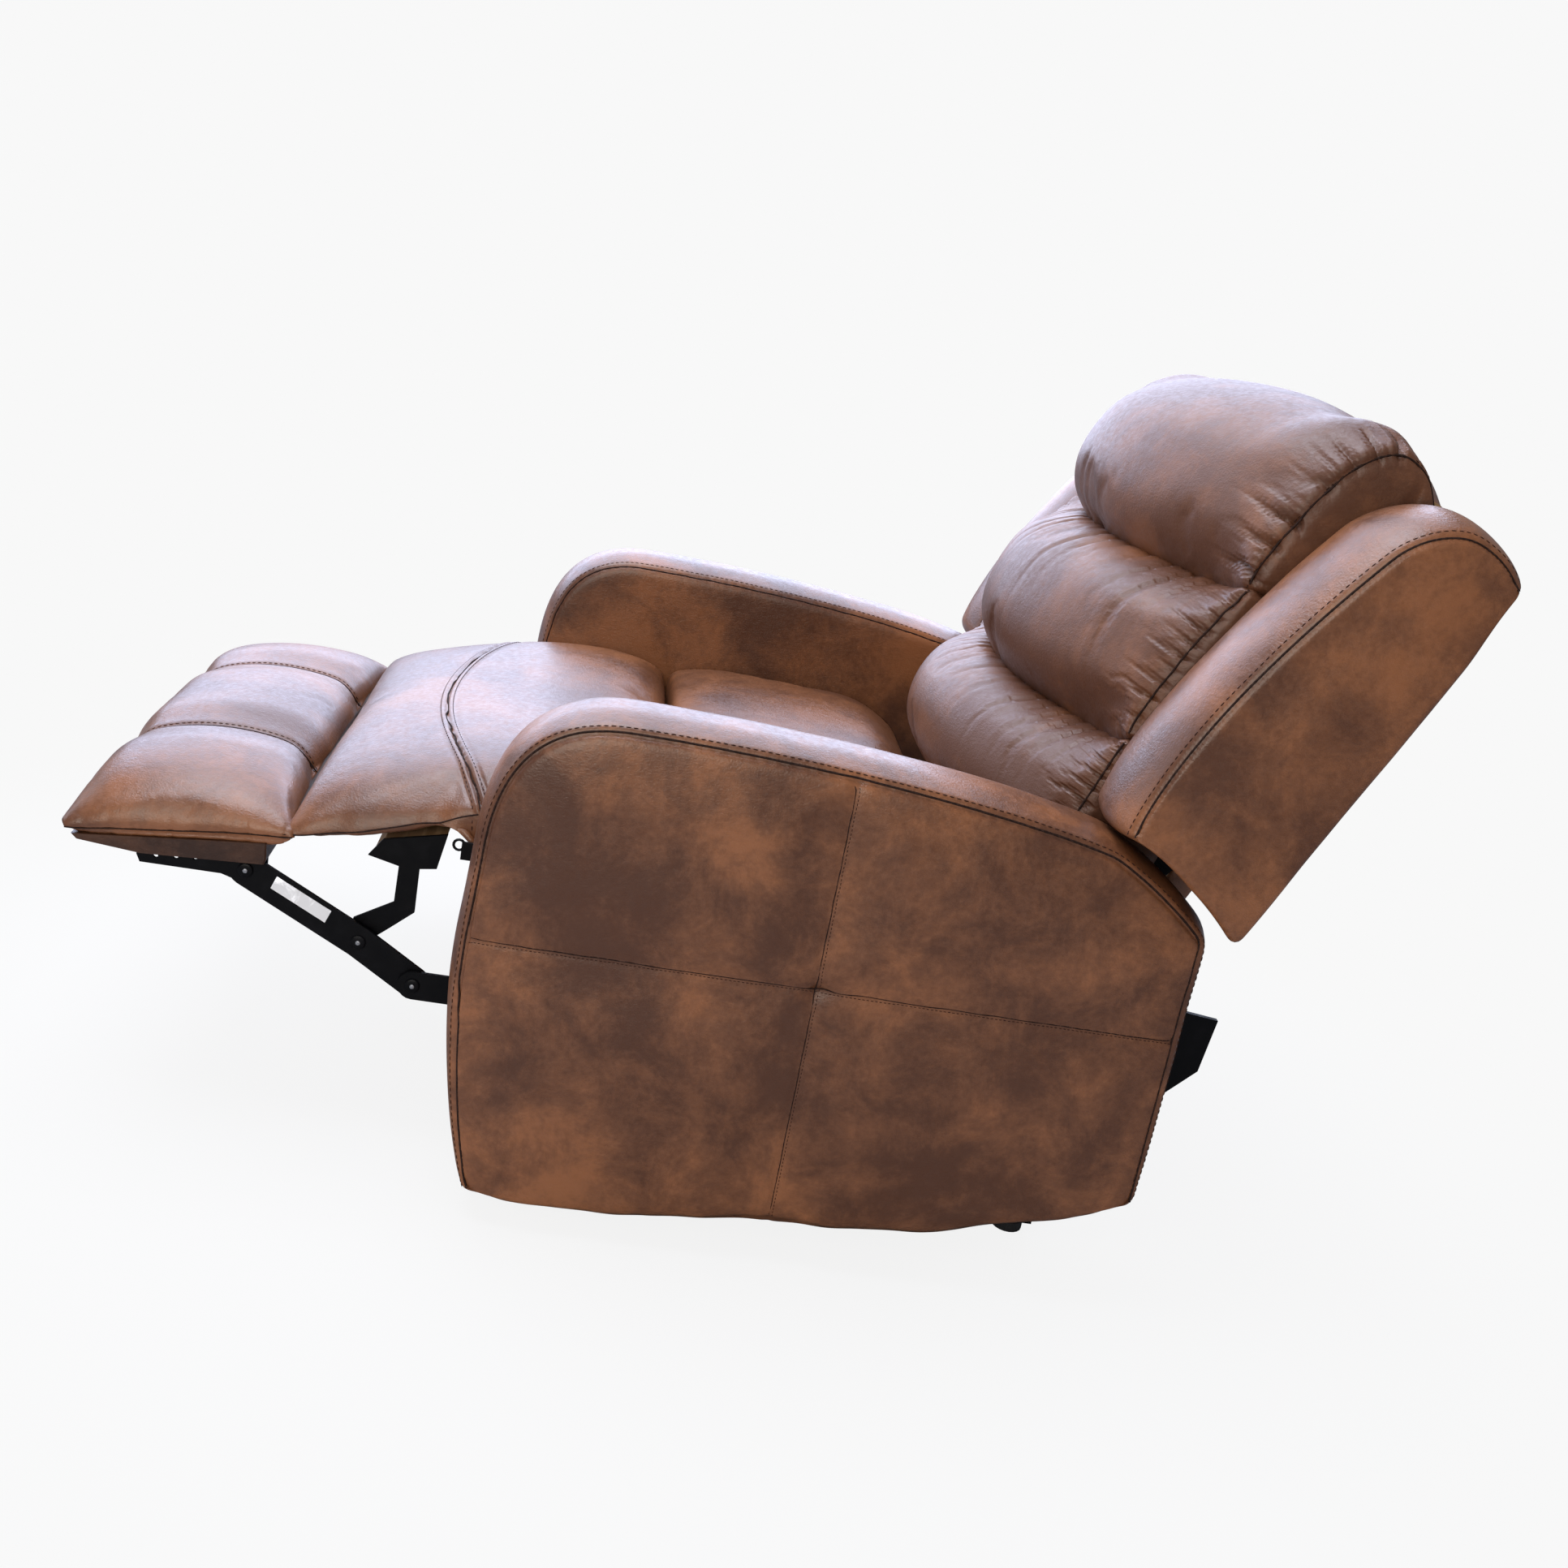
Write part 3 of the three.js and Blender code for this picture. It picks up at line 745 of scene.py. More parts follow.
def crowned_pad(name, shape, half, swell, place, count, stations, rounding, rungs=8, cap=0.0):
    """A pad whose outline swells from its edges to its middle, filled by cloth simulation up to a cap.

    Its shape gives the front and the back curve in the middle and at the edges, and place lays them.
    """
    middle, edge = (spread(smooth_curve(shape[part], 0.002), count) for part in ("middle", "edge"))
    back_middle, back_edge = (spread(shape[part][::-1], count) for part in ("back_middle", "back_edge"))
    rings = []
    for t in stations_across(stations):
        share = crown(t, *swell)
        front = edge + (middle - edge) * share
        back = back_edge + (back_middle - back_edge) * share
        rings.append((place(t * half, front), place(t * half, back)))
    pad = loft(name, rings, rounding, rungs)
    if cap:
        inflate(pad, cap)
    return refine(pad)


def padded_slab(name, sign, outlines, count, near, far, stations, ease, puff, rungs):
    """A padded slab in the side plane, with eased edges and a swell between them, on the hand of the sign."""
    front, back = (spread(outline, count) for outline in outlines)
    rings = []
    for t in stations_across(stations):
        x = (near + far) / 2 + t * (far - near) / 2
        inset = ease * (1 - math.sqrt(1 - min(1, abs(t)) ** 6)) - puff * (1 - t * t)
        path = inset_path(front, inset)
        path[0], path[-1] = back[0], back[-1]
        rings.append((flip(across(x, path), sign), flip(across(x, back), sign)))
    return refine(loft(name, rings, 2, rungs))


def sew(kind, hand, sign, cover, body, seams, rows, width=None, size=1.0):
    """The named seams and rows of stitches of an arm or a wing, given as paths on the left hand."""
    for name, path in seams.items():
        seam_line(f"{kind}_seam_{name}_{hand}", cover, flip(path, sign), body, width)
    for name, path in rows.items():
        stitch_row(f"{kind}_stitches_{name}_{hand}", cover, flip(path, sign), body, size)


# ---- arms ------------------------------------------------------------------
LEVEL_SEAM = 0.333                       # height of the level seam on the arm's outside
SEAM_SPREAD = 0.0045                     # half width of the dip along a seam of an arm or a wing
SKIN_LOW, SKIN_HIGH = 0.012, 0.003       # how far inside its outer face a cover counts as its outside
ROW_INSET = 0.003                        # from the corner of an arm or a wing to its seam
BAND_INSET = 0.006                       # from an arm's faces to the padded part of its band
PANEL_EASE = (0.0045, 0.018)             # depth and reach of the outside's rounding towards its seam
UPRIGHT_DIP, LEVEL_DIP = 0.0016, 0.0018  # depths of the cover along the cross of seams
DIMPLE = (0.004, 0.016)                  # depth and half width of the cover where they cross
STAR = (0.0012, 0.035)                   # height and reach of the wrinkles round the dimple
ARM_SLACK = ((7, 0.0018, 3), (19, 0.0006, 4))
CROSS_SEAM, CROSS_SIZE = 0.0014, 0.6     # width of the cross's seams and size of its stitches
ARM_FOOT = [(-0.226, 0.037), (-0.129, 0.045), (-0.001, 0.056), (0.113, 0.065), (0.178, 0.074),
            (0.229, 0.088), (0.305, 0.108)]


def arm_outline():
    """Front, top and rear edge of an arm from its front foot to its rear foot."""
    front, low, top = ARM_LOW.y, ARM_LOW.z, ARM_HIGH.z
    shin, brow, crest = (front + 0.004, top - 0.25), (front + 0.010, top - 0.16), (front + 0.14, top)
    shoulder, heel = side(0.2755, 0.526), side(0.386, 0.447)
    return joined([
        bezier((front + 0.038, low), (front + 0.010, low + 0.10), (front - 0.001, low + 0.20), shin),
        [shin, brow],
        bezier(brow, (front + 0.012, top - 0.055), (front + 0.055, top - 0.002), crest),
        bezier(crest, (front + 0.32, top), (shoulder[0] - 0.11, shoulder[1] + 0.03), shoulder),
        bezier(shoulder, side(0.325, 0.500), side(0.362, 0.470), heel),
        [heel, side(0.386, 0.334), (ARM_HIGH.y, 0.134)],
    ])


def arm_relief(points, outer_seam, inner_seam):
    """How far each point of the left arm's cover stands out of its plain form."""
    padding = bpy.context.scene.recliner_padding
    outer, inner = (nearest_on(seam, points)[0] for seam in (outer_seam, inner_seam))
    relief = dip(outer, padding.seam_depth, SEAM_SPREAD) + dip(inner, padding.seam_depth, SEAM_SPREAD)
    on_band = (points[:, 0] < ARM_OUTER - BAND_INSET) & (points[:, 0] > ARM_INNER + BAND_INSET)
    relief += np.where(on_band, padding.crown * 1.6 * smooth_step(0.0, 0.05, np.minimum(outer, inner)), 0)

    y, z = points[:, 1] - SEAM_Y, points[:, 2]
    upright, level = np.abs(y), np.abs(z - LEVEL_SEAM)
    crossing = np.hypot(upright, level)
    field = np.minimum(np.minimum(upright, level), outer)
    star = flat_noise(np.arctan2(z - LEVEL_SEAM, y) * 2.3, crossing * 12, 5)
    outside = smooth_step(ARM_OUTER - SKIN_LOW, ARM_OUTER - SKIN_HIGH, points[:, 0])
    relief += outside * (padding.crown * 1.3 * smooth_step(0.0, 0.08, field)
                         - PANEL_EASE[0] * np.exp(-outer / PANEL_EASE[1])
                         + dip(upright, UPRIGHT_DIP, SEAM_SPREAD) + dip(level, LEVEL_DIP, SEAM_SPREAD)
                         + dip(crossing, *DIMPLE) + STAR[0] * star * hump(crossing, STAR[1]))

    relief += unevenness(points, *ARM_SLACK)
    hem = np.clip(1 - (z - (0.04 + 0.09 * smooth_step(-0.30, 0.40, y))) / 0.05, 0, 1)
    return relief + hem * 0.0022 * flat_noise(y * 30, z * 6, 9)


def make_arm(hand, sign):
    """The cover of one arm: crowned panels, a cross of seams on the outside, a hemmed foot."""
    outline = arm_outline()
    foot = smooth_curve([outline[0], *(side(*place) for place in ARM_FOOT), outline[-1]])
    arm = padded_slab(f"arm_cover_{hand}", sign, (outline, foot), 190, ARM_INNER, ARM_OUTER,
                      stations=17, ease=0.006, puff=0.002, rungs=46)
    edge = inset_path(outline, 0.004)
    seams = {"outer": across(ARM_OUTER - 0.001, edge), "inner": across(ARM_INNER + 0.001, edge)}
    push(arm, arm_relief(flip(points_of(arm), sign), seams["outer"], seams["inner"]))
    points = points_of(arm)
    low = np.clip(1 - (points[:, 2] - 0.036) / 0.12, 0, 1)
    points[:, 2] += low * 0.0025 * flat_noise(points[:, 1] * 14, points[:, 0] * 3, 12)
    put_points(arm, points)
    upholster(arm, leather_material("Leather arm"), "chassis",
              [f"arm_{part}_{hand}" for part in ("outer_panel", "inner_panel", "band", "frame")], 0.9)

    offset = bpy.context.scene.recliner_sewing.topstitch_offset
    beside = inset_path(outline, -0.004)
    rows = {
        "outer": across(ARM_OUTER - offset - ROW_INSET, beside),
        "inner": across(ARM_INNER + offset + ROW_INSET, beside),
    }
    sew("arm", hand, sign, arm, "chassis", seams, rows)
    skin = ARM_OUTER + 0.002
    upright = np.array([(skin, SEAM_Y, 0.060), (skin, SEAM_Y, ARM_HIGH.z - 0.019)])
    level = np.array([(skin, ARM_LOW.y + 0.010, LEVEL_SEAM), (skin, ARM_HIGH.y - 0.004, LEVEL_SEAM)])
    beside = {"upright": upright + [0, 0.0022, 0], "level": level - [0, 0, 0.0022]}
    sew("arm", hand, sign, arm, "chassis", {"upright": upright, "level": level}, beside,
        width=CROSS_SEAM, size=CROSS_SIZE)


class RECLINER_OT_arms(bpy.types.Operator):
    """Make the two padded arm covers with their seams"""

    bl_idname = "recliner.arms"
    bl_label = "Arms"

    def execute(self, context):
        for hand, sign in HANDS:
            make_arm(hand, sign)
        return {"FINISHED"}


# ---- wings -----------------------------------------------------------------
WING_SLACK = ((8, 0.0016, 13), (21, 0.0006, 14))
BAND_REACH = 0.03                        # how far a wing's round band reaches from its front edge


def wing_outline():
    """Front and top edge of a wing, from its lower front corner to its rear top corner."""
    bend, top = on_back(0.670, -0.038), on_back(0.720, -0.102)
    return joined([
        bezier(side(0.276, 0.550), on_back(0.400, 0.026), on_back(0.545, 0.002), bend),
        bezier(bend, on_back(0.700, -0.052), on_back(0.719, -0.078), top),
        bezier(top, on_back(0.720, -0.124), on_back(0.715, -0.145), on_back(0.702, -0.163)),
    ])


def wing_foot(start):
    """The arc about the back's hinge from a wing's lower front corner to its heel."""
    low, heel = start - BACK_HINGE[1:], np.array(side(0.408, 0.457)) - BACK_HINGE[1:]
    turn = np.linspace(math.atan2(low[1], low[0]), math.atan2(heel[1], heel[0]), 40)
    return BACK_HINGE[1:] + np.linalg.norm(low) * np.column_stack([np.cos(turn), np.sin(turn)])


def make_wing(hand, sign):
    """The cover of one wing: a flat outer panel and a round front band."""
    padding = bpy.context.scene.recliner_padding
    outline = wing_outline()
    rear = np.concatenate([wing_foot(outline[0]), outline[-1:]])
    wing = padded_slab(f"wing_cover_{hand}", sign, (outline, rear), 130, WING_INNER, WING_OUTER,
                       stations=19, ease=0.007, puff=0.003, rungs=36)
    seams = {
        "outer": across(WING_OUTER - 0.001, inset_path(outline, 0.004)),
        "inner": across(WING_INNER + 0.009, inset_path(outline, 0.001)),
    }
    points = flip(points_of(wing), sign)
    outer, inner = (nearest_on(path, points)[0] for path in seams.values())
    relief = dip(outer, padding.seam_depth, SEAM_SPREAD) + dip(inner, padding.seam_depth * 0.7, 0.004)
    before, _ = nearest_on(across(0, outline), points * [0, 1, 1])
    aside = np.clip((points[:, 0] - WING_INNER) / (WING_OUTER - WING_INNER), 0, 1)
    relief += hump(before, BAND_REACH) * padding.crown * 2.6 * np.sin(math.pi * aside)
    outside = smooth_step(WING_OUTER - SKIN_LOW, WING_OUTER - SKIN_HIGH, points[:, 0])
    relief += outside * padding.crown * 1.2 * smooth_step(0, 0.09, outer)
    relief += unevenness(points, *WING_SLACK)
    push(wing, relief)
    upholster(wing, leather_material("Leather wing", (0.4, 0.1, 0.7), calm=0.15), "back",
              [f"wing_outer_panel_{hand}", f"wing_body_{hand}"], 0.9)

    offset = bpy.context.scene.recliner_sewing.topstitch_offset
    beside = inset_path(outline, -0.004)
    rows = {
        "outer": across(WING_OUTER - offset - ROW_INSET, beside),
        "inner": across(WING_INNER + offset + 0.010, beside),
    }
    sew("wing", hand, sign, wing, "back", seams, rows)


class RECLINER_OT_wings(bpy.types.Operator):
    """Make the two wings of the back"""

    bl_idname = "recliner.wings"
    bl_label = "Wings"

    def execute(self, context):
        for hand, sign in HANDS:
            make_wing(hand, sign)
        return {"FINISHED"}


# ---- pillows ---------------------------------------------------------------
BOARD_FACE = -0.0985                     # how far behind the hinge line the cushions rest
PILLOWS = {                              # places along the back's slope and out of it
    "head": {
        "middle": [(0.539, 0.013), (0.541, 0.054), (0.552, 0.088), (0.583, 0.107), (0.638, 0.110),
                   (0.690, 0.097), (0.736, 0.056), (0.768, 0.006), (0.789, -0.058), (0.797, -0.112)],
        "edge": [(0.574, 0.004), (0.603, 0.006), (0.655, 0.002), (0.708, -0.009), (0.743, -0.028),
                 (0.759, -0.052), (0.755, -0.090), (0.727, -0.121)],
        "back_middle": [(0.797, -0.112), (0.746, -0.113), (0.744, BOARD_FACE), (0.539, BOARD_FACE),
                        (0.539, 0.013)],
        "back_edge": [(0.727, -0.121), (0.705, -0.112), (0.700, BOARD_FACE), (0.574, BOARD_FACE),
                      (0.574, 0.004)],
    },
    "mid": {
        "middle": [(0.335, 0.016), (0.338, 0.058), (0.350, 0.092), (0.380, 0.114), (0.430, 0.123),
                   (0.480, 0.119), (0.520, 0.094), (0.536, 0.058), (0.539, 0.013)],
        "edge": [(0.378, 0.018), (0.420, 0.020), (0.470, 0.018), (0.520, 0.012), (0.574, 0.004)],
        "back_middle": [(0.539, 0.013), (0.538, BOARD_FACE), (0.335, BOARD_FACE), (0.335, 0.016)],
        "back_edge": [(0.574, 0.004), (0.573, BOARD_FACE), (0.378, BOARD_FACE), (0.378, 0.018)],
    },
    "low": {
        "middle": [(0.182, 0.082), (0.205, 0.118), (0.245, 0.133), (0.290, 0.129), (0.322, 0.104),
                   (0.334, 0.060), (0.335, 0.016)],
        "edge": [(0.240, 0.014), (0.290, 0.014), (0.340, 0.016), (0.378, 0.018)],
        "back_middle": [(0.335, 0.016), (0.334, BOARD_FACE), (0.182, BOARD_FACE), (0.182, 0.082)],
        "back_edge": [(0.378, 0.018), (0.377, BOARD_FACE), (0.200, BOARD_FACE), (0.240, 0.014)],
    },
}
PILLOW_SWELL = (2.0, 0.95)               # power and fullness of the crown across a pillow
SIDE_GATHERS = {                         # spacing, depth and reach of the gathers along a pillow's sides
    "head": (0.026, 0.0110, 0.056),
    "mid": (0.020, 0.0050, 0.042),
    "low": (0.020, 0.0050, 0.042),
}
FOLDS = {                                # heights and places out of the crease above a pillow, and the
    "mid": ((0.539, 0.574, 0.030, 0.004),     # spacing, depth, reach and seed of the folds under it
            ((0.034, 0.0046, 0.100, 61), (0.013, 0.0010, 0.060, 62))),
    "low": ((0.335, 0.378, 0.034, 0.018),
            ((0.030, 0.0038, 0.080, 63), (0.012, 0.0010, 0.055, 64))),
}
PILLOW_CLIP = 0.0005                     # how far a pillow may stand past its half width
PILLOW_SLACK = (np.array([4, 8, 8]), 0.003)
SHOULDER = (0.011, 0.060, 0.045)         # height, place inside the edge and spread of the head's shoulder


def crease_path(low_up, high_up, low_out, high_out):
    """The line where two pillows meet: low in the middle and higher at the sides."""
    t = np.linspace(-1, 1, 121)
    share = crown(t, *PILLOW_SWELL)
    place = np.column_stack([high_up + (low_up - high_up) * share, high_out + (low_out - high_out) * share])
    return from_back(t * PILLOW_HALF, place)


def pillow_relief(points, kind, number, sides):
    """How far each point of a pillow stands out of its plain form."""
    up, forward = (points - BACK_HINGE) @ UP, (points - BACK_HINGE) @ OUT
    inside = PILLOW_HALF - np.abs(points[:, 0])
    front = smooth_step(0.0, 0.004, inside) * smooth_step(-0.075, -0.030, forward)
    relief = unevenness(points, (*PILLOW_SLACK, 40 + number))
    if kind == "head":
        height, place, reach = SHOULDER
        top = smooth_step(0.66, 0.74, up) * smooth_step(-0.10, -0.05, forward)
        relief += height * hump(inside - place, reach) * top
    spacing, depth, reach = SIDE_GATHERS[kind]
    for hand, edge in enumerate(sides):
        far, along = nearest_on(edge, points)
        relief += front * gathers(along, far, spacing, depth, reach, 50 + 7 * number + hand)
        relief += front * gathers(along, far, spacing / 3, depth / 7, reach * 0.8, 90 + hand)
        relief += dip(far, 0.0045, 0.006)
    if kind in FOLDS:
        crease, folds = FOLDS[kind]
        far, along = nearest_on(crease_path(*crease), points)
        relief += smooth_step(0.03, 0.11, inside) * sum(gathers(along, far, *fold) for fold in folds)
    return relief


def make_pillow(kind, number, shape):
    """One back pillow, gathered along its sides and folded under the pillow above it."""
    pillow = crowned_pad(f"{kind}_pillow_cover", shape, PILLOW_HALF, PILLOW_SWELL, from_back,
                         count=80, stations=135, rounding=3, cap=0.008)
    edge = from_back(PILLOW_HALF, smooth_curve(shape["edge"]))
    sides = [flip(edge, sign) for _, sign in HANDS]
    push(pillow, pillow_relief(points_of(pillow), kind, number, sides))
    points = points_of(pillow)
    points[:, 0] = np.clip(points[:, 0], -PILLOW_HALF - PILLOW_CLIP, PILLOW_HALF + PILLOW_CLIP)
    put_points(pillow, points)
    finish = leather_material("Leather pillow", (0.2, 0.5, 0.1), calm=0.35, lift=-0.24, worn=0.13)
    upholster(pillow, finish, "back", [f"{kind}_pillow"], 0.8)
    for (hand, sign), path in zip(HANDS, sides):
        seam_line(f"{kind}_pillow_seam_{hand}", pillow, path - [0.0005 * sign, 0, 0], "back")
        if kind == "head":
            stitch_row(f"{kind}_pillow_stitches_{hand}", pillow, path - [0.006 * sign, 0, 0], "back")


class RECLINER_OT_pillows(bpy.types.Operator):
    """Make the head, middle and low back pillows with their gathers"""

    bl_idname = "recliner.pillows"
    bl_label = "Back pillows"

    def execute(self, context):
        for number, (kind, shape) in enumerate(PILLOWS.items()):
            make_pillow(kind, number, shape)
        return {"FINISHED"}


# ---- seat and chaise -------------------------------------------------------
SEAT_TOP = [(-0.1715, 0.430), (-0.160, 0.441), (-0.078, 0.449), (0.047, 0.444), (0.110, 0.436),
            (0.162, 0.412), (0.184, 0.393)]
SEAT_EDGE = [(y, z - 0.012) for y, z in SEAT_TOP]
SEAT_UNDER = [(0.184, 0.393), (0.184, 0.324), (-0.1715, 0.324), (-0.1715, 0.430)]
SEAT = {
    "middle": SEAT_TOP,
    "edge": SEAT_EDGE,
    "back_middle": SEAT_UNDER,
    "back_edge": [SEAT_EDGE[-1], *SEAT_UNDER[1:-1], SEAT_EDGE[0]],
}
ROLL = {
    "middle": [(-0.580, 0.376), (-0.566, 0.406), (-0.525, 0.430), (-0.455, 0.450), (-0.400, 0.460),
               (-0.360, 0.465), (-0.320, 0.467), (-0.263, 0.465), (-0.212, 0.457), (-0.184, 0.445),
               (-0.1735, 0.428)],
    "edge": [(-0.589, 0.358), (-0.540, 0.370), (-0.494, 0.382), (-0.451, 0.396), (-0.425, 0.404),
             (-0.387, 0.417), (-0.330, 0.430), (-0.263, 0.437), (-0.200, 0.430), (-0.1735, 0.418)],
    "back_middle": [(-0.1735, 0.428), (-0.1735, 0.324), (-0.323, 0.324), (-0.335, 0.326),
                    (-0.372, 0.353), (-0.398, 0.402), (-0.425, 0.395), (-0.494, 0.3755),
                    (-0.573, 0.356), (-0.580, 0.376)],
    "back_edge": [(-0.1735, 0.418), (-0.1735, 0.324), (-0.323, 0.324), (-0.335, 0.334),
                  (-0.358, 0.370), (-0.385, 0.406), (-0.425, 0.398), (-0.494, 0.377),
                  (-0.584, 0.354), (-0.589, 0.358)],
}
SEAT_SWELL, ROLL_SWELL = (9, 0.5), (4.5, 0.62)
SEAT_SLACK = (np.array([6, 8, 8]), 0.003, 31)
ROLL_SLACK = (np.array([5, 8, 8]), 0.003, 33)
SEAM_ROW = 0.0072                        # from the curved seam to the stitches before and behind it
EDGE_SEAM, EDGE_SINK = 0.0018, -0.0002   # width of a pad's edge seam, and how deep it lies
HANG_FROM = np.array([0, -0.366 + SEAM_Y, 0.462])   # the chaise flattens towards this place
HANG_AXIS = np.array([0, 0.98, -0.20])


def pad_place(x, place):
    """Places a ring; the part between the arms is a little wider than the part before them."""
    points = in_side(x, place)
    between = smooth_step(-0.400, -0.372, points[:, 1] - SEAM_Y)
    points[:, 0] *= 1 + between * (SEAT_HALF / REST_HALF - 1)
    return points


def curved_seam(shift=0.0):
    """The seam across the front of the seat, bowed towards the feet."""
    t = np.linspace(-0.988, 0.988, 161)
    top = np.array(ROLL["middle"][3:6])
    y = -0.453 + shift + 0.082 * t ** 2
    return np.column_stack([t * REST_HALF, y + SEAM_Y, np.interp(y, top[:, 0], top[:, 1])])


def split_piece(piece, other_name, place, normal):
    """Cuts a piece in two at a plane and closes both cuts with sharp-edged faces."""
    other = new_object(other_name, piece.data.copy())
    for part, inner, outer in ((piece, True, False), (other, False, True)):
        form = bmesh.new()
        form.from_mesh(part.data)
        geometry = form.verts[:] + form.edges[:] + form.faces[:]
        cut = bmesh.ops.bisect_plane(form, geom=geometry, dist=1e-6, plane_co=Vector(place),
                                     plane_no=Vector(normal), clear_inner=inner, clear_outer=outer)
        edges = [item for item in cut["geom_cut"] if isinstance(item, bmesh.types.BMEdge)]
        for edge in edges:
            edge.smooth = False
        caps = bmesh.ops.holes_fill(form, edges=edges, sides=0)["faces"]
        bmesh.ops.triangulate(form, faces=caps)
        form.to_mesh(part.data)
        form.free()
    return piece, other


def make_seat(finish):
    """The cushion between the arms."""
    seat = crowned_pad("seat_cover", SEAT, SEAT_HALF, SEAT_SWELL, in_side,
                       count=48, stations=80, rounding=4, cap=0.005)
    push(seat, unevenness(points_of(seat), SEAT_SLACK))
    upholster(seat, finish, "chassis", ["seat_cushion"], 0.8)


def make_roll(finish):
    """The front roll and the chaise pad, made as one, sewn, and cut apart under the arms' front edge."""
    roll = crowned_pad("seat_roll_cover", ROLL, REST_HALF, ROLL_SWELL, pad_place,
                       count=104, stations=112, rounding=2, rungs=4, cap=0.006)
    points = points_of(roll)
    y = points[:, 1] - SEAM_Y
    seam = let_down(roll, curved_seam())
    far, _ = nearest_on(seam, points)
    top = smooth_step(0.30, 0.5, points_of(roll, "normal")[:, 2])
    relief = unevenness(points, ROLL_SLACK)
    relief += top * (dip(far, 0.0034, 0.0024) - dip(far - 0.0048, 0.0019, 0.0030)
                     + dip(far - 0.0100, 0.0014, 0.0022))
    edge, _ = nearest_on(laid(roll, in_side(REST_HALF, ROLL["edge"][:6])), points)
    relief += 0.0026 * flat_noise(y * 38 + points[:, 0] * 9, y * 0, 35) * hump(edge, 0.030)
    push(roll, relief)

    hanging = [seam_line("chaise_seam", roll, seam, "chassis", 0.0024)]
    for name, shift in (("front", -SEAM_ROW), ("rear", SEAM_ROW)):
        row = let_down(roll, curved_seam(shift))
        hanging.append(stitch_row(f"chaise_stitches_{name}", roll, row, "chassis"))
    hem = smooth_curve(ROLL["edge"][:7])
    hem = hem[hem[:, 0] < HANG_FROM[1] - SEAM_Y - 0.010]
    for hand, sign in HANDS:
        path = in_side(sign * (REST_HALF + 0.001), hem)
        hanging.append(seam_line(f"chaise_hem_{hand}", roll, path, "chassis", EDGE_SEAM, EDGE_SINK))
    roll, chaise = split_piece(roll, "chaise_cover", HANG_FROM, HANG_AXIS)
    for pad, node, fill in ((roll, "seat_front_roll", 0.8), (chaise, "chaise_pad", 0.6)):
        upholster(pad, finish, "chassis", [node], fill)
    for piece in (*hanging, chaise):
        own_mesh(piece)


class RECLINER_OT_seat(bpy.types.Operator):
    """Make the seat cushion, and the front roll that runs on into the chaise pad"""

    bl_idname = "recliner.seat"
    bl_label = "Seat and chaise"

    def execute(self, context):
        finish = leather_material("Leather seat", (0.9, 0.3, 0.4), calm=0.30)
        make_seat(finish)
        make_roll(finish)
        return {"FINISHED"}


# ---- leg rest --------------------------------------------------------------
REST = {
    "middle": [(-0.824, 0.345), (-0.814, 0.368), (-0.786, 0.392), (-0.735, 0.407), (-0.680, 0.411),
               (-0.625, 0.404), (-0.594, 0.388), (-0.5815, 0.368)],
    "edge": [(-0.823, 0.333), (-0.760, 0.340), (-0.700, 0.346), (-0.640, 0.353), (-0.569, 0.361)],
    "back_middle": [(-0.5815, 0.368), (-0.586, 0.345), (-0.600, 0.3372), (-0.8125, 0.3252),
                    (-0.824, 0.345)],
    "back_edge": [(-0.569, 0.359), (-0.574, 0.353), (-0.600, 0.349), (-0.8125, 0.3290),
                  (-0.822, 0.331)],
}
REST_SWELL = (4.2, 0.52)
REST_SLACK = (np.array([6, 9, 9]), 0.0025, 71)
REST_FIELD = REST_HALF * 0.41            # half width of the middle field
REST_ROW = 0.0050                        # from a seam of the leg rest to the stitches on each side of it
WRAP = 0.0012                            # thickness of the cover around the board
WRAP_ROUND = 0.0015                      # how much the wrapped board's ends are rounded
TAPER = 0.075                            # length over which the board thins towards the feet
BOARD_THICK = 0.0122


def wrapped_board(name, box):
    """The board under the leg rest in its cover, thin at the front; it lies in the leg rest's slope."""
    (left, front, _), (right, rear, _) = box
    front, rear = front - SEAM_Y, rear - SEAM_Y
    (high_y, high_z), (low_y, low_z) = REST["back_middle"][2:4]
    slope = (high_z - low_z) / (high_y - low_y)

    def place(y, below):
        return y, high_z + slope * (y - high_y) - below

    section = [place(front, -0.004), place(rear, -0.013), place(rear + 0.001, BOARD_THICK / 2),
               place(rear - 0.001, BOARD_THICK), place(front + TAPER, BOARD_THICK),
               place(front + 0.006, 0.002)]
    centre = np.mean(section, axis=0)
    form = bmesh.new()
    rows = []
    for x, shrink in ((left - WRAP, WRAP_ROUND), (left, 0), (right, 0), (right + WRAP, WRAP_ROUND)):
        ring = [np.array(point) + (centre - point) / np.linalg.norm(centre - point) * shrink
                for point in section]
        rows.append([form.verts.new((x, y + SEAM_Y, z)) for y, z in ring])
    bridge(form, rows)
    form.faces.new(rows[0])
    form.faces.new(rows[-1])
    bmesh.ops.recalc_face_normals(form, faces=form.faces)
    return object_of(name, form)


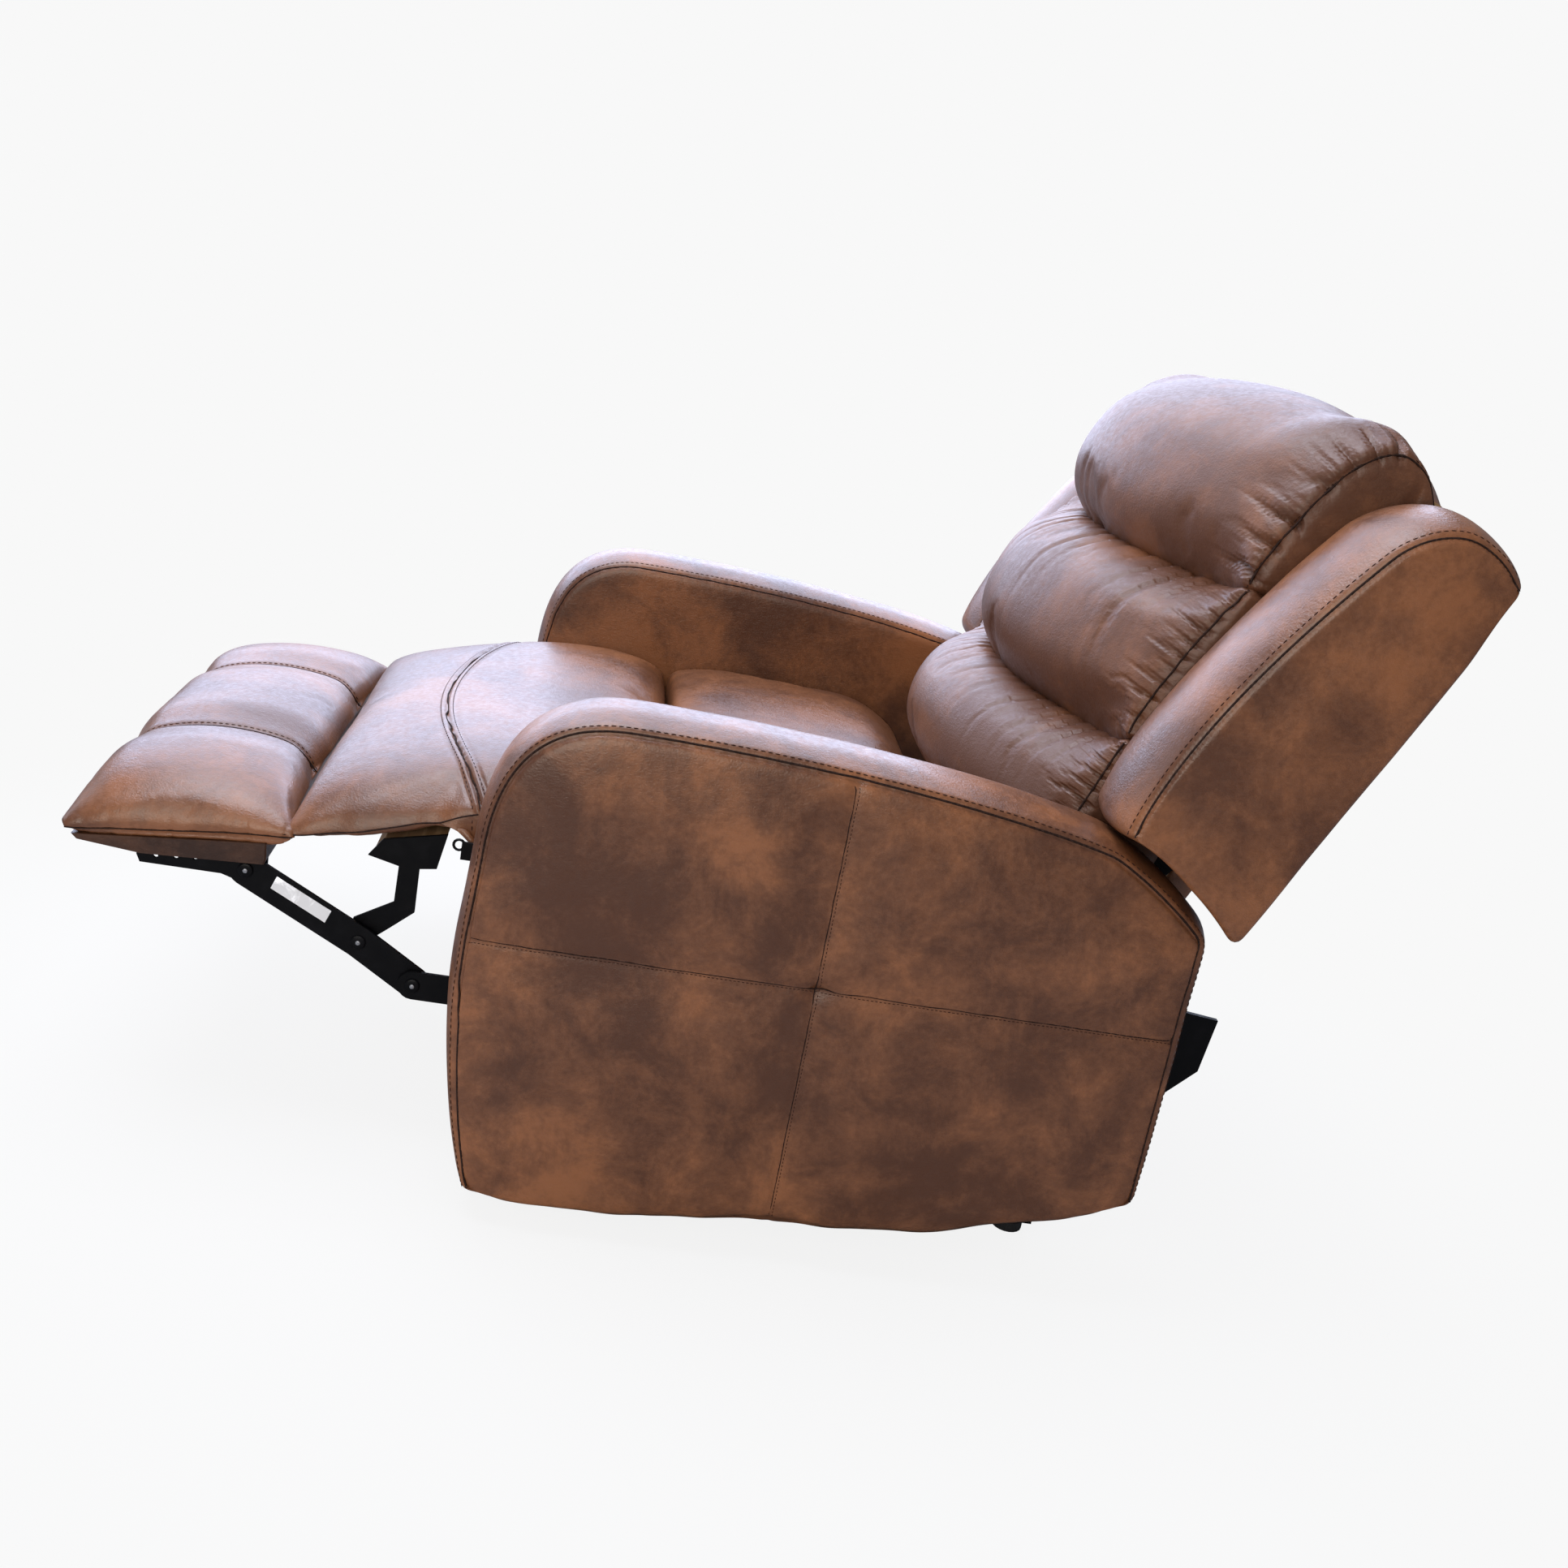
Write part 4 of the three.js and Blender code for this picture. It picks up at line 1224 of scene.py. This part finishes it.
class RECLINER_OT_leg_rest(bpy.types.Operator):
    """Make the leg-rest pad in three sewn fields, and the wrapped board under it"""

    bl_idname = "recliner.leg_rest"
    bl_label = "Leg rest"

    def execute(self, context):
        pad = crowned_pad("leg_rest_cover", REST, REST_HALF, REST_SWELL, in_side,
                          count=64, stations=120, rounding=1, rungs=2, cap=0.005)
        points = points_of(pad)
        top = smooth_step(-0.05, 0.35, points_of(pad, "normal")[:, 2])
        off = np.minimum(np.abs(points[:, 0] - REST_FIELD), np.abs(points[:, 0] + REST_FIELD))
        relief = top * (0.0085 * smooth_step(0, 0.075, off) - 0.0040 + dip(off, 0.0026, 0.0060))
        relief += unevenness(points, REST_SLACK)
        for number, (_, sign) in enumerate(HANDS):
            edge = laid(pad, in_side(sign * REST_HALF, REST["edge"]))
            far, along = nearest_on(edge, points)
            relief += dip(far, 0.0028, 0.0040)
            puckers = gathers(along, far, 0.024, 0.0009, 0.016, 72 + number)
            relief += np.where(points[:, 2] > 0.33, puckers, 0)
        push(pad, relief)
        finish = leather_material("Leather leg rest", (0.3, 0.8, 0.4), calm=0.30)
        upholster(pad, finish, "leg_rest", ["ottoman_pad"], 0.7)
        wrap = wrapped_board("leg_rest_wrap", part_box("ottoman_board"))
        # The wrap's leather is pushed to its dark tone and its colours cut to 0.40: painted shade, as the board
        # lies recessed under the pad's overhanging edge
        wrap.data.materials.append(leather_material("Leather wrap", (0.1, 0.2, 0.9), lift=-0.3, depth=0.40))
        mount_piece(wrap, "leg_rest", stands_for=["ottoman_board"])
        crest = smooth_curve(REST["middle"])
        for hand, sign in HANDS:
            line = in_side(sign * REST_FIELD, crest)
            seam_line(f"leg_rest_seam_{hand}", pad, line, "leg_rest", 0.0022, 0.0001)
            for name, shift in (("in", -REST_ROW), ("out", REST_ROW)):
                row = in_side(sign * (REST_FIELD + shift), crest)
                stitch_row(f"leg_rest_stitches_{name}_{hand}", pad, row, "leg_rest")
            border = in_side(sign * (REST_HALF + 0.001), REST["edge"])
            seam_line(f"leg_rest_border_{hand}", pad, border, "leg_rest", EDGE_SEAM, EDGE_SINK)
        return {"FINISHED"}


# ---- back cover and hard parts ---------------------------------------------
COVER_FOOT, COVER_FACE, COVER_REAR, COVER_TOP = 0.092, -0.1190, -0.1480, -0.1640
COVER = {                                # places along the back's slope and out of it
    "middle": [(COVER_FOOT, COVER_FACE), (0.45, COVER_FACE), (0.797, COVER_FACE)],
    "edge": [(COVER_FOOT, COVER_FACE), (0.40, COVER_FACE), (0.700, COVER_FACE)],
    "back_middle": [(0.797, COVER_FACE), (0.808, -0.134), (0.806, COVER_TOP + 0.010), (0.790, COVER_TOP),
                    (COVER_FOOT, COVER_REAR), (COVER_FOOT, COVER_FACE)],
    "back_edge": [(0.700, COVER_FACE), (0.708, -0.134), (0.706, COVER_TOP + 0.010), (0.690, COVER_TOP),
                  (COVER_FOOT, COVER_REAR), (COVER_FOOT, COVER_FACE)],
}
COVER_SEAMS = {"low": 0.130, "high": 0.640}
COVER_SEAM_HALF = 0.325
COVER_SLACK = ((6, 0.0022, 81), (17, 0.0008, 82))


class RECLINER_OT_back_cover(bpy.types.Operator):
    """Make the outside cover of the back, crowned like the head pillow before it"""

    bl_idname = "recliner.back_cover"
    bl_label = "Back cover"

    def execute(self, context):
        cover = crowned_pad("back_cover_skin", COVER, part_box("back_cover")[1].x, PILLOW_SWELL, from_back,
                            count=110, stations=90, rounding=2, rungs=4)
        push(cover, unevenness(points_of(cover), *COVER_SLACK))
        finish = leather_material("Leather back", (0.6, 0.2, 0.9), calm=0.15)
        upholster(cover, finish, "back", ["back_cover"], 0.9)
        stations = np.linspace(-COVER_SEAM_HALF, COVER_SEAM_HALF, 60)
        for name, up in COVER_SEAMS.items():
            line = from_back(stations, np.tile((up, COVER_REAR - 0.001), (len(stations), 1)))
            seam_line(f"back_cover_seam_{name}", cover, line, "back", 0.0014)
            stitch_row(f"back_cover_stitches_{name}", cover, line - UP * 0.006, "back")
        return {"FINISHED"}


class RECLINER_OT_hard_parts(bpy.types.Operator):
    """Give the frame, mechanism and lever their finishes"""

    bl_idname = "recliner.hard_parts"
    bl_label = "Frame and mechanism"

    def execute(self, context):
        finishes = {
            "black_steel": steel_material("Black paint", (0.0012, 0.0012, 0.0022, 1), 0.42, 0.0, 0.2),
            "spring_steel": steel_material("Spring steel", (0.20, 0.20, 0.21, 1), 0.38, 1.0),
            "plastic": steel_material("Black plastic", (0.018, 0.018, 0.020, 1), 0.45, 0.0),
            "plywood": plywood_material("Plywood"),
            "leather": leather_material("Leather arm"),
        }
        for part in frame["record"]["subparts"]:
            node = frame["nodes"][part["node"]]
            node.data.materials.clear()
            node.data.materials.append(finishes[part["material_slot"]])
        return {"FINISHED"}


LINK_PINS = {                            # joint at each pin: the pin's body and a node that it ends on
    "leg_rest_elbow": ("drive_links", "elbow_pin_l"),
    "chaise_support_tilt": ("chaise_support", "crank_l"),
    "leg_rest_tilt": ("leg_rest", "ottoman_bracket_l"),
}
HEAD_RADIUS, HEAD_HEIGHT = 0.0085, 0.0016
END_RADIUS, END_HEIGHT, END_OUT = 0.0028, 0.0011, 0.0012
LABEL = [(-0.587, 0.310), (-0.524, 0.278), (-0.530, 0.263), (-0.593, 0.295)]
PAPER = 0.0003                           # the label's thickness, and its gap from the link


def round_head(name, centre, radius, height, finish):
    """A low dome with its axis along X."""
    form = bmesh.new()
    bmesh.ops.create_uvsphere(form, u_segments=20, v_segments=10, radius=1)
    bmesh.ops.scale(form, vec=(radius, radius, height), verts=form.verts)
    bmesh.ops.rotate(form, cent=(0, 0, 0), matrix=Matrix.Rotation(math.pi / 2, 3, "Y"), verts=form.verts)
    bmesh.ops.translate(form, vec=centre, verts=form.verts)
    return finished(object_of(name, form), finish)


class RECLINER_OT_rivets(bpy.types.Operator):
    """Make the rivet heads of the leg-rest links and the blank label on the near link"""

    bl_idname = "recliner.rivets"
    bl_label = "Rivets and label"

    def execute(self, context):
        black = bpy.data.materials["Black paint"]
        bare = steel_material("Bare rivet", (0.30, 0.31, 0.34, 1), 0.45, 0.6)
        for joint, (body, node) in LINK_PINS.items():
            for hand, sign in HANDS:
                place = HINGES[joint].copy()
                place.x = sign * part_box(node)[1].x
                head = round_head(f"rivet_{joint}_{hand}", place, HEAD_RADIUS, HEAD_HEIGHT, black)
                mount_piece(head, body)
                place.x += sign * END_OUT
                spot = round_head(f"rivet_end_{joint}_{hand}", place, END_RADIUS, END_HEIGHT, bare)
                mount_piece(spot, body)
        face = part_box("second_link_l")[1].x
        form = bmesh.new()
        sheet = form.faces.new([form.verts.new((face + PAPER, *side(*place))) for place in LABEL])
        raised = bmesh.ops.extrude_face_region(form, geom=[sheet])["geom"]
        bmesh.ops.translate(form, vec=(PAPER, 0, 0),
                            verts=[item for item in raised if isinstance(item, bmesh.types.BMVert)])
        bmesh.ops.recalc_face_normals(form, faces=form.faces)
        label = object_of("link_label", form)
        label.data.materials.append(steel_material("Label paper", (0.62, 0.62, 0.63, 1), 0.6, 0.0))
        mount_piece(label, "front_links")
        return {"FINISHED"}


# ---- stage -----------------------------------------------------------------
PALE = (0.939, 0.939, 0.939, 1)          # floor and background as the camera sees them
DAYLIGHT, DAYLIGHT_STRENGTH = (0.90, 0.93, 1.0, 1), 0.24
FLOOR = (0.86, 0.86, 0.86, 1)
FLOOR_MIRRORED = (0.16, 0.16, 0.16, 1)
LAMPS = {                                # place, aim, size, power and colour
    "sky": ((-4.2, -0.4, 2.2), (0, 0, 0.5), (6.5, 3.2), 320, (0.66, 0.74, 1.0)),
    "high": ((-2.6, -0.3, 4.0), (0, -0.2, 0.4), (5.0, 2.6), 100, (0.72, 0.79, 1.0)),
    "overhead": ((-0.1, -0.9, 3.4), (0, -0.5, 0.4), (2.6, 2.2), 132, (0.84, 0.88, 1.0)),
    "front": ((-1.4, -4.6, 1.7), (0, 0.2, 0.6), (3.6, 2.2), 44, (0.86, 0.88, 1.0)),
    "fill": ((3.5, -1.0, 1.9), (0.3, 0, 0.4), (2.4, 2.4), 72, (1.0, 0.94, 0.84)),
}
CAMERA_PLACE = (1.99731, SEAM_Y - 0.26492, 1.03855)
CAMERA_RIGHT = Vector((-0.0088, 0.988, 0.1539))
CAMERA_DOWN = Vector((0.3206, 0.1486, -0.9355))
CAMERA_AHEAD = Vector((-0.9472, 0.0411, -0.3181))
CAMERA_LENS, CAMERA_SENSOR, CAMERA_SHIFT = 37.28, 36, 0.0828


def make_world():
    """Soft light from all round, with a pale background for the camera."""
    world = bpy.data.worlds.new("Studio")
    bpy.context.scene.world = world
    world.use_nodes = True
    nodes = Nodes(world.node_tree)
    light = world.node_tree.nodes["Background"]
    nodes.feed(light.inputs["Color"], DAYLIGHT)
    nodes.feed(light.inputs["Strength"], DAYLIGHT_STRENGTH)
    seen = nodes.add("ShaderNodeBackground", {"Color": PALE})
    path = nodes.add("ShaderNodeLightPath", {})
    choose = nodes.add("ShaderNodeMixShader", {
        0: path.outputs["Is Camera Ray"], 1: light.outputs[0], 2: seen.outputs[0]})
    nodes.feed(world.node_tree.nodes["World Output"].inputs[0], choose.outputs[0])


def make_floor():
    """A pale floor that keeps the chair's shadow and fades into the background."""
    form = bmesh.new()
    bmesh.ops.create_grid(form, x_segments=1, y_segments=1, size=60)
    floor = object_of("floor", form)
    nodes = Finish("Pale floor", FLOOR, 0.9)
    glow = nodes.add("ShaderNodeEmission", {"Color": PALE})
    path = nodes.add("ShaderNodeLightPath", {})
    nodes.give("Base Color", nodes.mix(path.outputs["Is Glossy Ray"], FLOOR, FLOOR_MIRRORED))
    away = nodes.add("ShaderNodeVectorMath", {0: nodes.place}, operation="LENGTH").outputs["Value"]
    share = nodes.maths("MULTIPLY", path.outputs["Is Camera Ray"], nodes.ramp(away, 0.3, 1.4, 0.91, 1.0))
    choose = nodes.add("ShaderNodeMixShader", {0: share, 1: nodes.shader.outputs[0], 2: glow.outputs[0]})
    nodes.feed(nodes.tree.nodes["Material Output"].inputs[0], choose.outputs[0])
    floor.data.materials.append(nodes.material)


def make_lamps():
    """Large soft lamps, which the camera doesn't see."""
    for name, (place, aim, size, power, colour) in LAMPS.items():
        data = bpy.data.lights.new(name, "AREA")
        data.shape = "RECTANGLE"
        data.size, data.size_y = size
        data.energy = power
        data.color = colour
        lamp = new_object(name, data)
        lamp.location = place
        lamp.rotation_euler = (Vector(aim) - Vector(place)).to_track_quat("-Z", "Y").to_euler()
        lamp.visible_camera = False


def make_camera():
    """The camera, at the near side and a little above the back."""
    data = bpy.data.cameras.new("camera")
    data.sensor_width = CAMERA_SENSOR
    data.lens = CAMERA_LENS
    data.shift_x = CAMERA_SHIFT
    camera = new_object("camera", data)
    turn = Matrix((CAMERA_RIGHT, -CAMERA_DOWN, -CAMERA_AHEAD)).transposed()
    camera.matrix_world = Matrix.Translation(CAMERA_PLACE) @ turn.to_4x4()
    bpy.context.scene.camera = camera


class RECLINER_OT_stage(bpy.types.Operator):
    """Make the floor, the lights and the camera"""

    bl_idname = "recliner.stage"
    bl_label = "Stage"

    def execute(self, context):
        context.scene.view_settings.view_transform = "Standard"
        make_world()
        make_floor()
        make_lamps()
        make_camera()
        return {"FINISHED"}


# ---- add-on ----------------------------------------------------------------
OPERATORS = (
    RECLINER_OT_hard_parts, RECLINER_OT_arms, RECLINER_OT_wings, RECLINER_OT_pillows, RECLINER_OT_seat,
    RECLINER_OT_leg_rest, RECLINER_OT_back_cover, RECLINER_OT_rivets, RECLINER_OT_stage,
)
SETTINGS = {
    "recliner_leather": RECLINER_PG_leather,
    "recliner_sewing": RECLINER_PG_sewing,
    "recliner_padding": RECLINER_PG_padding,
}


class RECLINER_PT_panel(bpy.types.Panel):
    """Lists the settings and the operators that build the chair."""

    bl_idname = "RECLINER_PT_panel"
    bl_label = "Recliner"
    bl_space_type = "VIEW_3D"
    bl_region_type = "UI"
    bl_category = "Recliner"

    def draw(self, context):
        for name, group in SETTINGS.items():
            box = self.layout.box()
            for prop in group.__annotations__:
                box.prop(getattr(context.scene, name), prop)
        for operator in OPERATORS:
            self.layout.operator(operator.bl_idname)


def register():
    for name, group in SETTINGS.items():
        bpy.utils.register_class(group)
        setattr(bpy.types.Scene, name, bpy.props.PointerProperty(type=group))
    for operator in OPERATORS:
        bpy.utils.register_class(operator)
    bpy.utils.register_class(RECLINER_PT_panel)


def unregister():
    bpy.utils.unregister_class(RECLINER_PT_panel)
    for operator in reversed(OPERATORS):
        bpy.utils.unregister_class(operator)
    for name, group in SETTINGS.items():
        delattr(bpy.types.Scene, name)
        bpy.utils.unregister_class(group)


def main():
    register()
    for operator in OPERATORS:
        category, action = operator.bl_idname.split(".")
        getattr(getattr(bpy.ops, category), action)()


if __name__ == "__main__":
    main()
